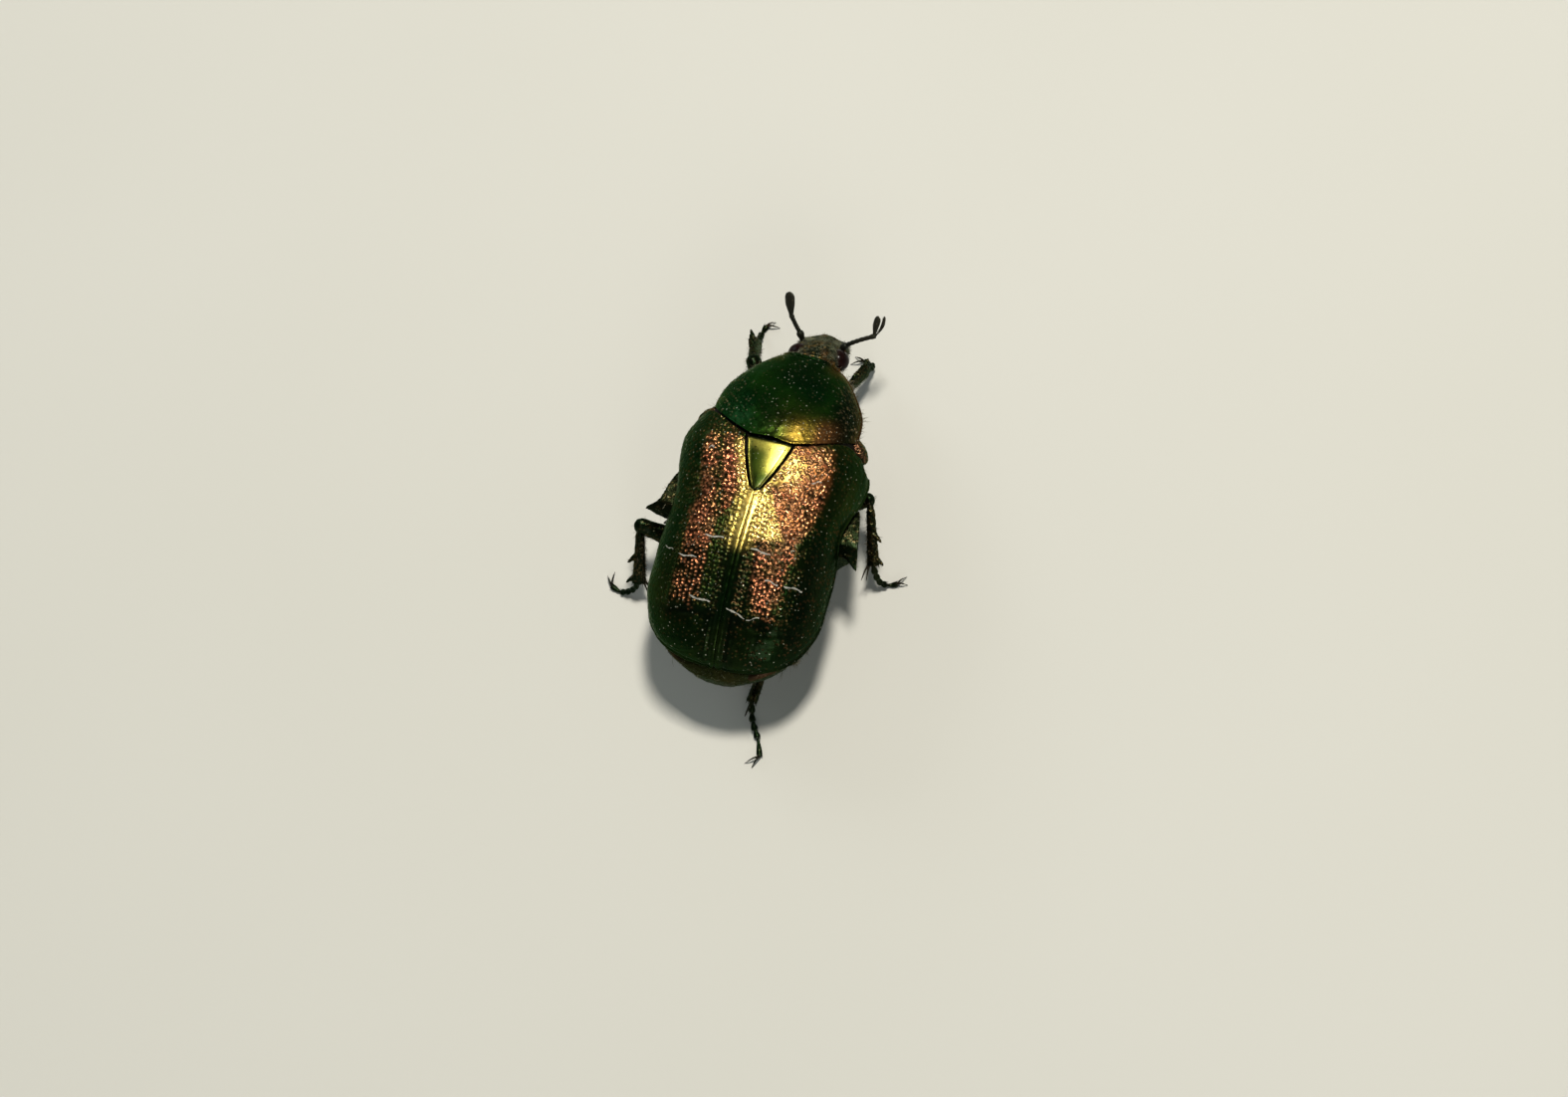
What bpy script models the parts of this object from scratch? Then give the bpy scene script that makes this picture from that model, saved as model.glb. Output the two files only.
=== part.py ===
"""Rose chafer (Cetonia aurata) at life size, standing on a floor at z = 0 with its legs held as on a flower.

The head looks along -Y, so the beetle's left side is at +X. Sizes below are millimetres, and every mesh
is turned into metres as it is made. The body is modelled whole and parted with thin cuts of width GAP.
At the end everything is moved so that the origin is under the middle of the whole model.
"""

import math

import bmesh
import bpy
from mathutils import Matrix, Vector

MM = 0.001
GAP = 0.3
HALF_GAP = GAP / 2

# Profiles along the body: pairs of y and a size, joined by a smooth curve
ELYTRA_HALF_WIDTH = (
    (-4.2, 3.9), (-3.4, 4.3), (-2.8, 4.65), (-2.1, 4.82), (-1.3, 4.74), (-0.2, 4.45), (0.8, 4.3),
    (3.2, 4.48), (5.2, 4.48), (6.8, 4.02), (7.7, 3.35), (8.2, 2.6), (8.5, 1.7), (8.6, 1.15),
)
ELYTRA_TOP = ((-4.2, 8.1), (-2.5, 8.4), (0.0, 8.5), (3.0, 8.4), (5.5, 7.85), (7.3, 7.05), (8.6, 6.05))
ELYTRA_EDGE = (
    (-4.2, 5.9), (-2.4, 5.35), (-1.4, 5.3), (-0.4, 5.75), (0.8, 5.85),
    (2.0, 5.4), (3.4, 5.2), (6.0, 5.1), (8.0, 5.3), (8.6, 5.45),
)
BODY_HALF_WIDTH = (
    (-4.4, 3.2), (-3.0, 4.0), (-1.7, 4.2), (-1.0, 3.8), (-0.6, 3.7), (2.3, 3.7), (3.0, 4.1), (4.4, 4.2),
    (5.6, 4.1), (6.8, 3.75), (7.7, 3.2), (8.3, 2.55), (8.75, 1.75), (9.0, 1.05),
)
BODY_BOTTOM = (
    (-4.4, 2.9), (-3.0, 2.4), (-1.0, 2.05), (1.0, 2.0), (3.0, 2.15),
    (5.0, 2.4), (7.0, 2.8), (8.3, 3.3), (9.0, 3.9),
)
BODY_REAR_TOP = ((-4.4, 6.0), (7.4, 6.0), (8.0, 5.0), (8.6, 4.9), (9.0, 4.6))
PRONOTUM_HALF_WIDTH = (
    (-2.3, 3.65), (-4.2, 3.72), (-4.8, 3.68), (-5.4, 3.54), (-6.0, 3.25), (-6.5, 2.9), (-6.9, 2.58),
    (-7.4, 2.1), (-7.95, 1.4),
)
PRONOTUM_TOP = ((-2.3, 8.35), (-3.4, 8.25), (-4.6, 7.95), (-6.0, 7.35), (-7.2, 6.65), (-7.95, 6.15))
PRONOTUM_EDGE = ((-2.3, 6.25), (-4.0, 6.05), (-5.5, 5.6), (-7.0, 5.3), (-7.95, 5.2))
PROTHORAX_BOTTOM = ((-3.4, 3.4), (-4.6, 3.1), (-6.0, 3.3), (-7.2, 3.85), (-7.95, 4.35))

# The base line of the pronotum and of the elytra seen from above: pairs of x and y
PRONOTUM_BASE = ((0.0, -2.9), (0.9, -2.8), (1.8, -3.05), (2.8, -3.5), (3.4, -3.9), (3.8, -4.25))
ELYTRA_BASE = (
    (0.0, -2.5), (1.2, -2.5), (2.2, -2.8), (3.2, -3.2), (3.8, -3.35), (4.3, -3.2), (4.7, -2.7),
)

DOME_ROUNDNESS = 2.5  # exponents of the superellipse sections: 2 is an ellipse, more is squarer
BELLY_ROUNDNESS = 2.0
PRONOTUM_ROUNDNESS = 2.2
ELYTRON_THICKNESS = 0.55
MARGIN_TO_FLANK = 0.3

SCUTELLUM_BASE_Y = -2.5
SCUTELLUM_TIP_Y = 0.05
SCUTELLUM_HALF_WIDTH = 1.1
SCUTELLUM_TIP_HALF_WIDTH = 0.12
SCUTELLUM_BULGE = 0.09

# Low bumps and hollows of the elytra: x, y, reach across, reach along, height
ELYTRA_RELIEF = (
    (3.45, -1.9, 0.75, 0.9, 0.16),
    (2.6, 6.3, 0.7, 0.8, 0.16),
    (0.75, 4.6, 0.42, 2.6, -0.17),
    (3.3, 0.4, 0.8, 1.2, -0.10),
)
STERNITE_EDGES = (3.9, 4.8, 5.7, 6.5, 7.2)
STERNITE_STEP = 0.13
STERNITE_SLOPE = 0.55

THORAX_END_Y = 2.6
PYGIDIUM_CUT = Vector((0.0, 7.7, 5.0))
PYGIDIUM_TILT = math.radians(8)
PROTHORAX_YAW = math.radians(-2)
PROTHORAX_PIVOT = Vector((0.0, -3.3, 0.0))

MESEPIMERON_CENTRE = Vector((3.7, -3.75, 5.9))
MESEPIMERON_RADII = Vector((0.65, 0.5, 0.8))
STERNAL_KNOB_CENTRE = Vector((0.0, -2.3, 2.15))
STERNAL_KNOB_RADII = Vector((0.62, 0.75, 0.5))

# The broad hind coxae, seen from above, with their half width as far as their pointed outer corners
COXAL_PLATE_THICKNESS = 0.6
COXAL_PLATE = (
    (0.15, 0.8), (2.4, 0.5), (3.6, -0.2), (4.3, -0.95), (6.0, -0.95),
    (5.6, 1.75), (5.2, 1.55), (4.7, 1.45), (4.2, 1.6), (3.4, 2.1), (2.2, 2.35), (0.15, 2.45),
)
COXAL_HALF_WIDTH = ((-1.2, 4.3), (-0.4, 4.5), (0.6, 4.6), (1.7, 4.65), (2.6, 4.65))
COXAL_FLARE = ((-1.2, 0.3), (0.4, 0.5), (1.6, 0.65), (2.6, 0.7))

# Head: distance from the neck, half width, rise above and drop below its axis, roundness
HEAD_RINGS = (
    (0.0, 1.05, 0.72, 0.75, 2.3),
    (0.4, 1.08, 0.84, 0.9, 2.3),
    (0.85, 1.02, 0.84, 0.95, 2.4),
    (1.25, 1.14, 0.70, 0.85, 2.6),
    (1.6, 1.2, 0.54, 0.62, 3.0),
    (2.05, 1.16, 0.40, 0.40, 3.4),
    (2.35, 1.1, 0.38, 0.24, 3.8),
    (2.46, 1.07, 0.44, 0.16, 3.8),
    (2.58, 1.0, 0.40, 0.10, 3.8),
)
HEAD_ORIGIN = Vector((-0.42, -8.0, 5.35))
HEAD_PITCH = math.radians(52)
HEAD_YAW = math.radians(8)
CLYPEUS_NOTCH_RADIUS = 0.26
EYE_CENTRE = Vector((1.0, -0.55, 0.1))
EYE_RADII = Vector((0.56, 0.52, 0.56))

# Each palp hangs from the side of the mouth: its line in the head's own frame and how it swells
PALP_LINE = ((0.75, -1.5, -0.35), (0.95, -1.95, -0.75), (0.9, -2.45, -0.95))
PALP_RADIUS = 0.24
PALP_SWELL = (0.95, 0.9, 1.0, 0.85, 1.0, 1.05, 0.45)

# Each antenna: the line of its stalk, and for each leaf the root, the tip, half breadth and half thickness
ANTENNA_RADIUS = 0.24
ANTENNA_SWELL = (1.0, 1.25, 1.2, 1.0, 1.0, 1.0, 1.0, 1.0, 1.15)
ANTENNAE = {
    "antenna_left": {
        "stalk": ((0.86, -9.1, 4.55), (1.2, -9.45, 4.95), (1.48, -9.8, 5.3)),
        "leaves": (((1.48, -9.75, 5.3), (1.74, -10.95, 6.15), 0.3, 0.27),),
    },
    "antenna_right": {
        "stalk": ((-1.45, -9.05, 4.6), (-2.1, -9.42, 5.0), (-2.8, -9.75, 5.3)),
        "leaves": (
            ((-2.75, -9.65, 5.3), (-2.82, -10.75, 6.05), 0.27, 0.24),
            ((-2.8, -9.72, 5.25), (-3.4, -10.8, 5.85), 0.22, 0.18),
        ),
    },
}
LEAF_FACING = Vector((0.3, 0.2, 1.0)).normalized()
# Along a leaf: a share of its length, of its half breadth and of its half thickness
LEAF_FORM = (
    (0.0, 0.45, 0.8), (0.2, 0.75, 1.0), (0.5, 1.0, 1.0), (0.8, 0.9, 1.0), (0.95, 0.6, 0.8), (1.0, 0.3, 0.5),
)

# Feet: the middle of the tarsus near the floor, so that its underside is cut to a small flat
FOOT_HEIGHT = 0.21
TARSUS_RADIUS = 0.26
CLAW_RADIUS = 0.2
CLAW_TIP_RADIUS = 0.06
CLAW_ARCH = Vector((0, 0, 0.22))

# Each leg: hip inside the body, root of the femur, knee and ankle, then the line of the tarsus and the tips
# of its two claws. The first number of each point is measured outwards from the midline.
LEGS = {
    "fore_left": {
        "side": 1,
        "joints": ((0.85, -4.75, 3.6), (1.3, -5.15, 2.2), (3.1, -7.75, 3.4), (3.7, -9.45, 1.35)),
        "tarsus": ((3.85, -9.95, 0.7), (3.92, -10.4, FOOT_HEIGHT), (3.8, -10.85, FOOT_HEIGHT)),
        "claws": ((3.1, -10.95, 0.12), (3.4, -11.2, 0.12)),
        "form": "fore",
    },
    "fore_right": {
        "side": -1,
        "joints": ((0.85, -4.75, 3.6), (1.3, -5.15, 2.2), (1.75, -7.35, 3.2), (2.13, -9.28, 1.5)),
        "tarsus": ((2.2, -9.75, 0.75), (2.05, -10.1, FOOT_HEIGHT), (1.65, -10.2, FOOT_HEIGHT)),
        "claws": ((0.98, -9.9, 0.12), (1.1, -10.35, 0.12)),
        "form": "fore",
    },
    "mid_left": {
        "side": 1,
        "joints": ((0.95, -1.0, 3.0), (1.65, -1.2, 1.5), (4.45, -1.7, 3.4), (4.9, 1.1, 1.9)),
        "tarsus": ((4.95, 1.7, 1.1), (5.0, 2.3, 0.35), (5.0, 3.0, FOOT_HEIGHT)),
        "claws": ((5.3, 3.6, 0.12), (4.85, 3.7, 0.12)),
        "form": "mid",
    },
    "mid_right": {
        "side": -1,
        "joints": ((0.95, -1.0, 3.0), (1.65, -1.2, 1.5), (4.65, -2.2, 3.4), (5.5, 0.75, 2.1)),
        "tarsus": ((5.62, 1.0, 1.4), (5.8, 1.1, 0.6), (6.2, 1.0, FOOT_HEIGHT), (6.55, 0.85, FOOT_HEIGHT)),
        "claws": ((6.9, 0.35, 0.12), (7.05, 0.75, 0.12)),
        "form": "mid",
    },
    "hind_left": {
        "side": 1,
        "joints": ((0.75, 1.6, 3.1), (1.6, 2.05, 1.45), (6.2, 1.95, 3.7), (5.95, 4.25, 1.4)),
        "tarsus": ((6.4, 4.5, 0.6), (7.0, 4.62, FOOT_HEIGHT), (7.55, 4.45, FOOT_HEIGHT)),
        "claws": ((7.65, 3.65, 0.12), (7.95, 3.95, 0.12)),
        "form": "hind",
    },
    "hind_right": {
        "side": -1,
        "joints": ((0.75, 1.6, 3.1), (1.6, 2.05, 1.45), (1.62, 5.8, 1.75), (1.3, 8.8, 1.05)),
        "tarsus": ((1.5, 9.6, 0.5), (1.95, 10.35, FOOT_HEIGHT), (2.3, 11.2, FOOT_HEIGHT)),
        "claws": ((1.65, 11.7, 0.12), (2.05, 11.85, 0.12)),
        "form": "hind",
    },
}

# Half breadth in the plane of the knee and half thickness across it, at the root, the middle and the end
LEG_FORMS = {
    "fore": {
        "coxa": 0.55,
        "femur": ((0.36, 0.32), (0.5, 0.36), (0.36, 0.3)),
        "tibia": ((0.27, 0.26), (0.4, 0.27)),
    },
    "mid": {
        "coxa": 0.6,
        "femur": ((0.36, 0.32), (0.5, 0.36), (0.36, 0.3)),
        "tibia": ((0.27, 0.26), (0.36, 0.3)),
    },
    "hind": {
        "coxa": 0.55,
        "femur": ((0.4, 0.34), (0.62, 0.38), (0.42, 0.3)),
        "tibia": ((0.28, 0.26), (0.38, 0.3)),
    },
}
# Teeth on the outer edge of each tibia, as shares of its length, and their height
TIBIA_TEETH = {"fore": (0.42, 0.68, 0.94), "mid": (0.6, 0.95), "hind": (0.6, 0.95)}
TOOTH_HEIGHT = {"fore": 0.42, "mid": 0.3, "hind": 0.32}
SPUR_LENGTH = {"fore": 0.5, "mid": 0.75, "hind": 0.8}
SPUR_RADIUS = 0.14
TARSOMERES = 5

# Each colour slot: base colour, roughness and metallic
COLOURS = {
    "metallic_green": ((0.035, 0.16, 0.035), 0.28, 0.9),
    "metallic_copper": ((0.30, 0.13, 0.045), 0.3, 0.9),
    "dark_cuticle": ((0.03, 0.045, 0.02), 0.35, 0.6),
    "eye_brown": ((0.045, 0.012, 0.008), 0.15, 0.0),
    "pygidium_bronze": ((0.09, 0.07, 0.035), 0.45, 0.6),
}


def value_at(table, where):
    """The table's size at a place, on a monotone cubic through its points."""
    points = sorted(table)
    if where <= points[0][0]:
        return points[0][1]
    if where >= points[-1][0]:
        return points[-1][1]
    steps = [(b[1] - a[1]) / (b[0] - a[0]) for a, b in zip(points, points[1:])]
    slopes = [steps[0]]
    for before, after in zip(steps, steps[1:]):
        slopes.append(0.0 if before * after <= 0 else 2 * before * after / (before + after))
    slopes.append(steps[-1])
    index = next(i for i in range(len(steps)) if where <= points[i + 1][0])
    (x0, y0), (x1, y1) = points[index], points[index + 1]
    span = x1 - x0
    t = (where - x0) / span
    rise = (3 - 2 * t) * t * t
    bend = t * (1 - t) ** 2 * slopes[index] - t * t * (1 - t) * slopes[index + 1]
    return y0 + (y1 - y0) * rise + bend * span


def side_vector(point, side):
    """A point whose first number is measured outwards from the midline, on the left (1) or the right (-1)."""
    return Vector((side * point[0], point[1], point[2]))


def clear_scene():
    for obj in list(bpy.data.objects):
        bpy.data.objects.remove(obj, do_unlink=True)


def make_collection(name):
    collection = bpy.data.collections.new(name)
    bpy.context.scene.collection.children.link(collection)
    return collection


def make_materials():
    made = {}
    for name, (colour, roughness, metallic) in COLOURS.items():
        material = bpy.data.materials.new(name)
        material.use_nodes = True
        shader = material.node_tree.nodes["Principled BSDF"]
        shader.inputs["Base Color"].default_value = (*colour, 1.0)
        shader.inputs["Roughness"].default_value = roughness
        shader.inputs["Metallic"].default_value = metallic
        made[name] = material
    return made


def new_object(name, bm, material=None):
    """A linked mesh object from a bmesh in millimetres."""
    bmesh.ops.scale(bm, vec=(MM, MM, MM), verts=bm.verts)
    bmesh.ops.recalc_face_normals(bm, faces=bm.faces)
    mesh = bpy.data.meshes.new(name)
    bm.to_mesh(mesh)
    bm.free()
    obj = bpy.data.objects.new(name, mesh)
    PARTS.objects.link(obj)
    if material:
        mesh.materials.append(MATERIALS[material])
    return obj


def apply_modifiers(obj):
    """Puts the modified mesh of obj in place of its mesh."""
    graph = bpy.context.evaluated_depsgraph_get()
    mesh = bpy.data.meshes.new_from_object(obj.evaluated_get(graph))
    obj.modifiers.clear()
    old = obj.data
    obj.data = mesh
    bpy.data.meshes.remove(old)


def boolean(obj, other, operation):
    """Cuts obj by other, or keeps what both share. The other object is used up."""
    modifier = obj.modifiers.new("boolean", "BOOLEAN")
    modifier.operation = operation
    modifier.solver = "MANIFOLD"
    modifier.object = other
    apply_modifiers(obj)
    bpy.data.objects.remove(other, do_unlink=True)
    return obj


def fuse(obj, pieces):
    """One Boolean union of obj with closed pieces, which are then removed."""
    holder = bpy.data.collections.new("fusing")
    for piece in pieces:
        holder.objects.link(piece)
    modifier = obj.modifiers.new("union", "BOOLEAN")
    modifier.operation = "UNION"
    modifier.solver = "MANIFOLD"
    modifier.operand_type = "COLLECTION"
    modifier.collection = holder
    apply_modifiers(obj)
    for piece in pieces:
        bpy.data.objects.remove(piece, do_unlink=True)
    bpy.data.collections.remove(holder)
    return obj


def copied(obj, name):
    """A linked copy of obj with a mesh of its own."""
    copy = obj.copy()
    copy.data = obj.data.copy()
    copy.name = name
    PARTS.objects.link(copy)
    return copy


def cut_by_planes(obj, cuts):
    """Keeps what lies behind each plane of cuts, given as a point in millimetres and a normal."""
    bm = bmesh.new()
    bm.from_mesh(obj.data)
    for point, normal in cuts:
        cut_plane(bm, point * MM, normal)
    bm.to_mesh(obj.data)
    bm.free()
    return obj


def connected_groups(bm):
    """The vertices of each separate surface of a bmesh."""
    left = set(bm.verts)
    groups = []
    while left:
        stack = [left.pop()]
        group = set(stack)
        while stack:
            for edge in stack.pop().link_edges:
                for vert in edge.verts:
                    if vert not in group:
                        group.add(vert)
                        stack.append(vert)
        left -= group
        groups.append(group)
    return groups


def keep_largest(obj):
    """Drops every closed surface of the mesh but the one with the largest box."""
    bm = bmesh.new()
    bm.from_mesh(obj.data)

    def reach(group):
        return sum(max(v.co[i] for v in group) - min(v.co[i] for v in group) for i in range(3))

    groups = sorted(connected_groups(bm), key=reach)
    dropped = [vert for group in groups[:-1] for vert in group]
    if dropped:
        bmesh.ops.delete(bm, geom=dropped, context="VERTS")
        bm.to_mesh(obj.data)
    bm.free()
    return obj


def finish_node(obj, material, smooth_angle=35):
    """Leaves a node as one closed surface with its material and smooth shading."""
    keep_largest(obj)
    obj.data.materials.clear()
    obj.data.materials.append(MATERIALS[material])
    obj.data.shade_smooth()
    obj.data.set_sharp_from_angle(angle=math.radians(smooth_angle))
    return obj


def loft(rings):
    """A closed bmesh through rings that all have the same number of points."""
    bm = bmesh.new()
    rows = [[bm.verts.new(point) for point in ring] for ring in rings]
    count = len(rows[0])
    for row, after in zip(rows, rows[1:]):
        for i in range(count):
            j = (i + 1) % count
            bm.faces.new((row[i], row[j], after[j], after[i]))
    bm.faces.new(list(reversed(rows[0])))
    bm.faces.new(rows[-1])
    return bm


def half_ring(half_width, level, peak, roundness, steps):
    """x and z of a superellipse arc from +half_width over peak to -half_width."""
    points = []
    for i in range(steps + 1):
        angle = math.pi * i / steps
        across, up = math.cos(angle), max(0.0, math.sin(angle))
        x = half_width * math.copysign(abs(across) ** (2 / roundness), across)
        points.append((x, level + (peak - level) * up ** (2 / roundness)))
    return points


def stations(first, last, count, crowding=0.0):
    """Places from first to last, crowded towards last as crowding goes from 0 to 1."""
    places = []
    for i in range(count + 1):
        t = i / count
        eased = math.sin(t * math.pi / 2)
        places.append(first + (last - first) * (t * (1 - crowding) + eased * crowding))
    return places


def relief(x, y):
    return sum(
        height * math.exp(-(((abs(x) - cx) / wide) ** 2) - ((y - cy) / long) ** 2)
        for cx, cy, wide, long, height in ELYTRA_RELIEF
    )


def elytra_dome(grow, steps, count, skirt=0.0):
    """The pair of elytra as one solid dome, grown by grow, with its underside skirt lower than the margin."""
    rings = []
    last = ELYTRA_HALF_WIDTH[-1][0] + min(grow, 0.0)
    for y in stations(ELYTRA_HALF_WIDTH[0][0], last, count, crowding=0.7):
        width = value_at(ELYTRA_HALF_WIDTH, y - min(grow, 0.0) * (y > 0)) + grow
        edge = value_at(ELYTRA_EDGE, y)
        top = value_at(ELYTRA_TOP, y) + grow
        ring = [
            Vector((x, y, z + relief(x, y) * (z > edge + 0.1)))
            for x, z in half_ring(width, edge, top, DOME_ROUNDNESS, steps)
        ]
        if skirt:
            ring += [Vector((-width, y, edge - skirt)), Vector((width, y, edge - skirt))]
        rings.append(ring)
    return loft(rings)


def sternite_swell(y):
    """A saw-tooth that drops at the hind edge of each sternite."""
    total = 0.0
    for edge in STERNITE_EDGES:
        if edge - STERNITE_SLOPE < y <= edge:
            total += STERNITE_STEP * (1 - (edge - y) / STERNITE_SLOPE)
    return total


def belly(grow, steps, with_sternites=True, lift=0.0):
    """The underside of the body behind the prothorax. Its flat top is just below the margin of the elytra."""
    places = [-4.4, -3.4, -2.5, -1.7, -1.0, -0.6, 1.0, 2.3, 2.75]
    if with_sternites:
        for edge in STERNITE_EDGES:
            places += [edge - STERNITE_SLOPE, edge, edge + 0.08]
        places += [8.3, 8.75, 9.0]
    else:
        places += stations(3.3, 9.0, 8)
    rings = []
    for y in places:
        swell = grow + (sternite_swell(y) if with_sternites else 0.0)
        width = value_at(BODY_HALF_WIDTH, y) + swell
        bottom = value_at(BODY_BOTTOM, y) - swell
        flank = min(value_at(ELYTRA_EDGE, y) - MARGIN_TO_FLANK, value_at(BODY_REAR_TOP, y)) + lift
        ring = half_ring(width, flank, bottom, BELLY_ROUNDNESS, steps)
        rings.append([Vector((x, y, z)) for x, z in ring])
    return loft(rings)


def prism(outline, bottom, top):
    """A closed upright prism on an outline of x and y."""
    bm = bmesh.new()
    verts = [bm.verts.new((x, y, bottom)) for x, y in outline]
    face = bm.faces.new(verts)
    made = bmesh.ops.extrude_face_region(bm, geom=[face])
    bmesh.ops.translate(
        bm, vec=(0, 0, top - bottom), verts=[g for g in made["geom"] if isinstance(g, bmesh.types.BMVert)]
    )
    bmesh.ops.recalc_face_normals(bm, faces=bm.faces)
    return bm


def base_line(table, shift, count=14):
    """x and y along a base line from the right side to the left, moved back by shift."""
    reach = table[-1][0]
    xs = [reach * i / count for i in range(-count, count + 1)]
    return [(x, value_at(table, abs(x)) + shift) for x in xs]


def ahead_of(table, shift, far=-14.0, reach=8.0):
    """An outline of everything ahead of a base line."""
    line = base_line(table, shift)
    return [(-reach, far), (-reach, line[0][1])] + line + [(reach, line[-1][1]), (reach, far)]


def turned(outline):
    """An outline turned with the prothorax."""
    return [(prothorax_matrix() @ Vector((x, y, 0.0))).to_2d() for x, y in outline]


def behind(table, shift, far=14.0, reach=8.0):
    """An outline of everything behind a base line."""
    line = base_line(table, shift)
    return [(reach, far), (reach, line[-1][1])] + line[::-1] + [(-reach, line[0][1]), (-reach, far)]


def scutellum_outline(grow):
    """The triangle of the scutellum with slightly bowed sides, grown by grow."""
    left = []
    for i in range(7):
        t = i / 6
        width = SCUTELLUM_HALF_WIDTH + (SCUTELLUM_TIP_HALF_WIDTH - SCUTELLUM_HALF_WIDTH) * t
        width += SCUTELLUM_BULGE * math.sin(math.pi * t)
        left.append((width + grow, SCUTELLUM_BASE_Y + (SCUTELLUM_TIP_Y + grow - SCUTELLUM_BASE_Y) * t))
    front = SCUTELLUM_BASE_Y - (1.5 if grow else 0.0)
    left[0] = (left[0][0], front)
    return left + [(-x, y) for x, y in reversed(left)]


def cut_plane(bm, point, normal):
    """Keeps what lies behind a plane and closes the cut."""
    geometry = bm.verts[:] + bm.edges[:] + bm.faces[:]
    options = {"plane_co": point, "plane_no": normal, "clear_outer": True}
    cut = bmesh.ops.bisect_plane(bm, geom=geometry, dist=1e-6, **options)
    edges = [g for g in cut["geom_cut"] if isinstance(g, bmesh.types.BMEdge)]
    if edges:
        bmesh.ops.edgeloop_fill(bm, edges=edges)
    return bm


def ball(centre, radii, turn=None, segments=16, rings=10):
    bm = bmesh.new()
    bmesh.ops.create_uvsphere(bm, u_segments=segments, v_segments=rings, radius=1.0)
    matrix = Matrix.Translation(centre) @ (turn or Matrix.Identity(4)) @ Matrix.Diagonal((*radii, 1.0))
    bmesh.ops.transform(bm, matrix=matrix, verts=bm.verts)
    return bm


def limb(path, sizes, plane_normal, sides=8, round_start=False, round_end=False):
    """A closed tube along path. A size is a half breadth in the limb's plane and a half thickness across it."""
    places = list(zip(path, sizes))
    if round_start:
        back = (path[0] - path[1]).normalized() * min(sizes[0])
        caps = [(path[0] + back * t, tuple(v * w for v in sizes[0])) for t, w in ((0.95, 0.4), (0.6, 0.8))]
        places = caps + places
    if round_end:
        on = (path[-1] - path[-2]).normalized() * min(sizes[-1])
        caps = [(path[-1] + on * t, tuple(v * w for v in sizes[-1])) for t, w in ((0.6, 0.8), (0.95, 0.4))]
        places = places + caps
    rings = []
    for i, (point, (breadth, thickness)) in enumerate(places):
        before = places[max(i - 1, 0)][0]
        after = places[min(i + 1, len(places) - 1)][0]
        along = (after - before).normalized()
        across = along.cross(plane_normal).normalized()
        flat = across.cross(along).normalized()
        rings.append(
            [
                point
                + across * breadth * math.cos(2 * math.pi * (k + 0.5) / sides)
                + flat * thickness * math.sin(2 * math.pi * (k + 0.5) / sides)
                for k in range(sides)
            ]
        )
    return loft(rings)


def spike(root, tip, radius, tip_radius=0.03, sides=6):
    """A straight tapering thorn from root to tip."""
    along = (tip - root).normalized()
    helper = Vector((0, 0, 1)) if abs(along.z) < 0.9 else Vector((1, 0, 0))
    across = along.cross(helper).normalized()
    return limb([root, tip], [(radius, radius), (tip_radius, tip_radius)], across, sides)


def curve_points(points, count):
    """A smooth line of count + 1 points through a few given ones."""
    extended = [points[0] * 2 - points[1], *points, points[-1] * 2 - points[-2]]
    made = []
    spans = len(points) - 1
    for i in range(count + 1):
        place = spans * i / count
        k = min(int(place), spans - 1)
        t = place - k
        p0, p1, p2, p3 = extended[k : k + 4]
        slope = (p2 - p0) * t
        square = (2 * p0 - 5 * p1 + 4 * p2 - p3) * t**2
        cube = (3 * p1 - p0 - 3 * p2 + p3) * t**3
        made.append((2 * p1 + slope + square + cube) / 2)
    return made


def build_elytra_and_scutellum():
    outer = new_object("elytron_left", elytra_dome(0.0, 22, 20))
    inner = new_object("inner", elytra_dome(-ELYTRON_THICKNESS, 14, 14, skirt=2.0))
    boolean(outer, inner, "DIFFERENCE")
    plate = copied(outer, "scutellum")
    boolean(plate, new_object("triangle", prism(scutellum_outline(0.0), 7.0, 10.0)), "INTERSECT")
    finish_node(plate, "metallic_green")
    boolean(outer, new_object("window", prism(scutellum_outline(GAP), 7.0, 10.0)), "DIFFERENCE")
    boolean(outer, new_object("ahead", prism(ahead_of(ELYTRA_BASE, 0.0), 0.0, 12.0)), "DIFFERENCE")
    right = copied(outer, "elytron_right")
    for obj, side in ((outer, 1), (right, -1)):
        cut_by_planes(obj, [(Vector((side * HALF_GAP, 0, 0)), Vector((-side, 0, 0)))])
        finish_node(obj, "metallic_copper")


def body_core():
    """Thorax and abdomen under the elytra, as one solid."""
    core = new_object("core", belly(0.0, 16))
    filling = new_object("filling", elytra_dome(-ELYTRON_THICKNESS - GAP, 10, 12, skirt=1.0))
    return fuse(core, [filling])


def shoulder_plate(side):
    """The small plate that fills the corner between pronotum and elytron."""
    centre = side_vector(MESEPIMERON_CENTRE, side)
    plate = new_object("shoulder", ball(centre, MESEPIMERON_RADII, segments=12, rings=8))
    boolean(plate, new_object("behind", prism(behind(ELYTRA_BASE, -GAP), 0.0, 12.0)), "DIFFERENCE")
    return boolean(plate, new_object("shield", prothorax_half(False, GAP)), "DIFFERENCE")


def build_thorax(core):
    thorax = cut_by_planes(copied(core, "thorax"), [(Vector((0, THORAX_END_Y, 0)), Vector((0, 1, 0)))])
    knob = new_object("knob", ball(STERNAL_KNOB_CENTRE, STERNAL_KNOB_RADII, segments=12, rings=8))
    fuse(thorax, [knob, shoulder_plate(1), shoulder_plate(-1)])
    ahead = prism(turned(ahead_of(PRONOTUM_BASE, GAP)), 0.0, 12.0)
    boolean(thorax, new_object("ahead", ahead), "DIFFERENCE")
    finish_node(thorax, "dark_cuticle")


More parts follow.
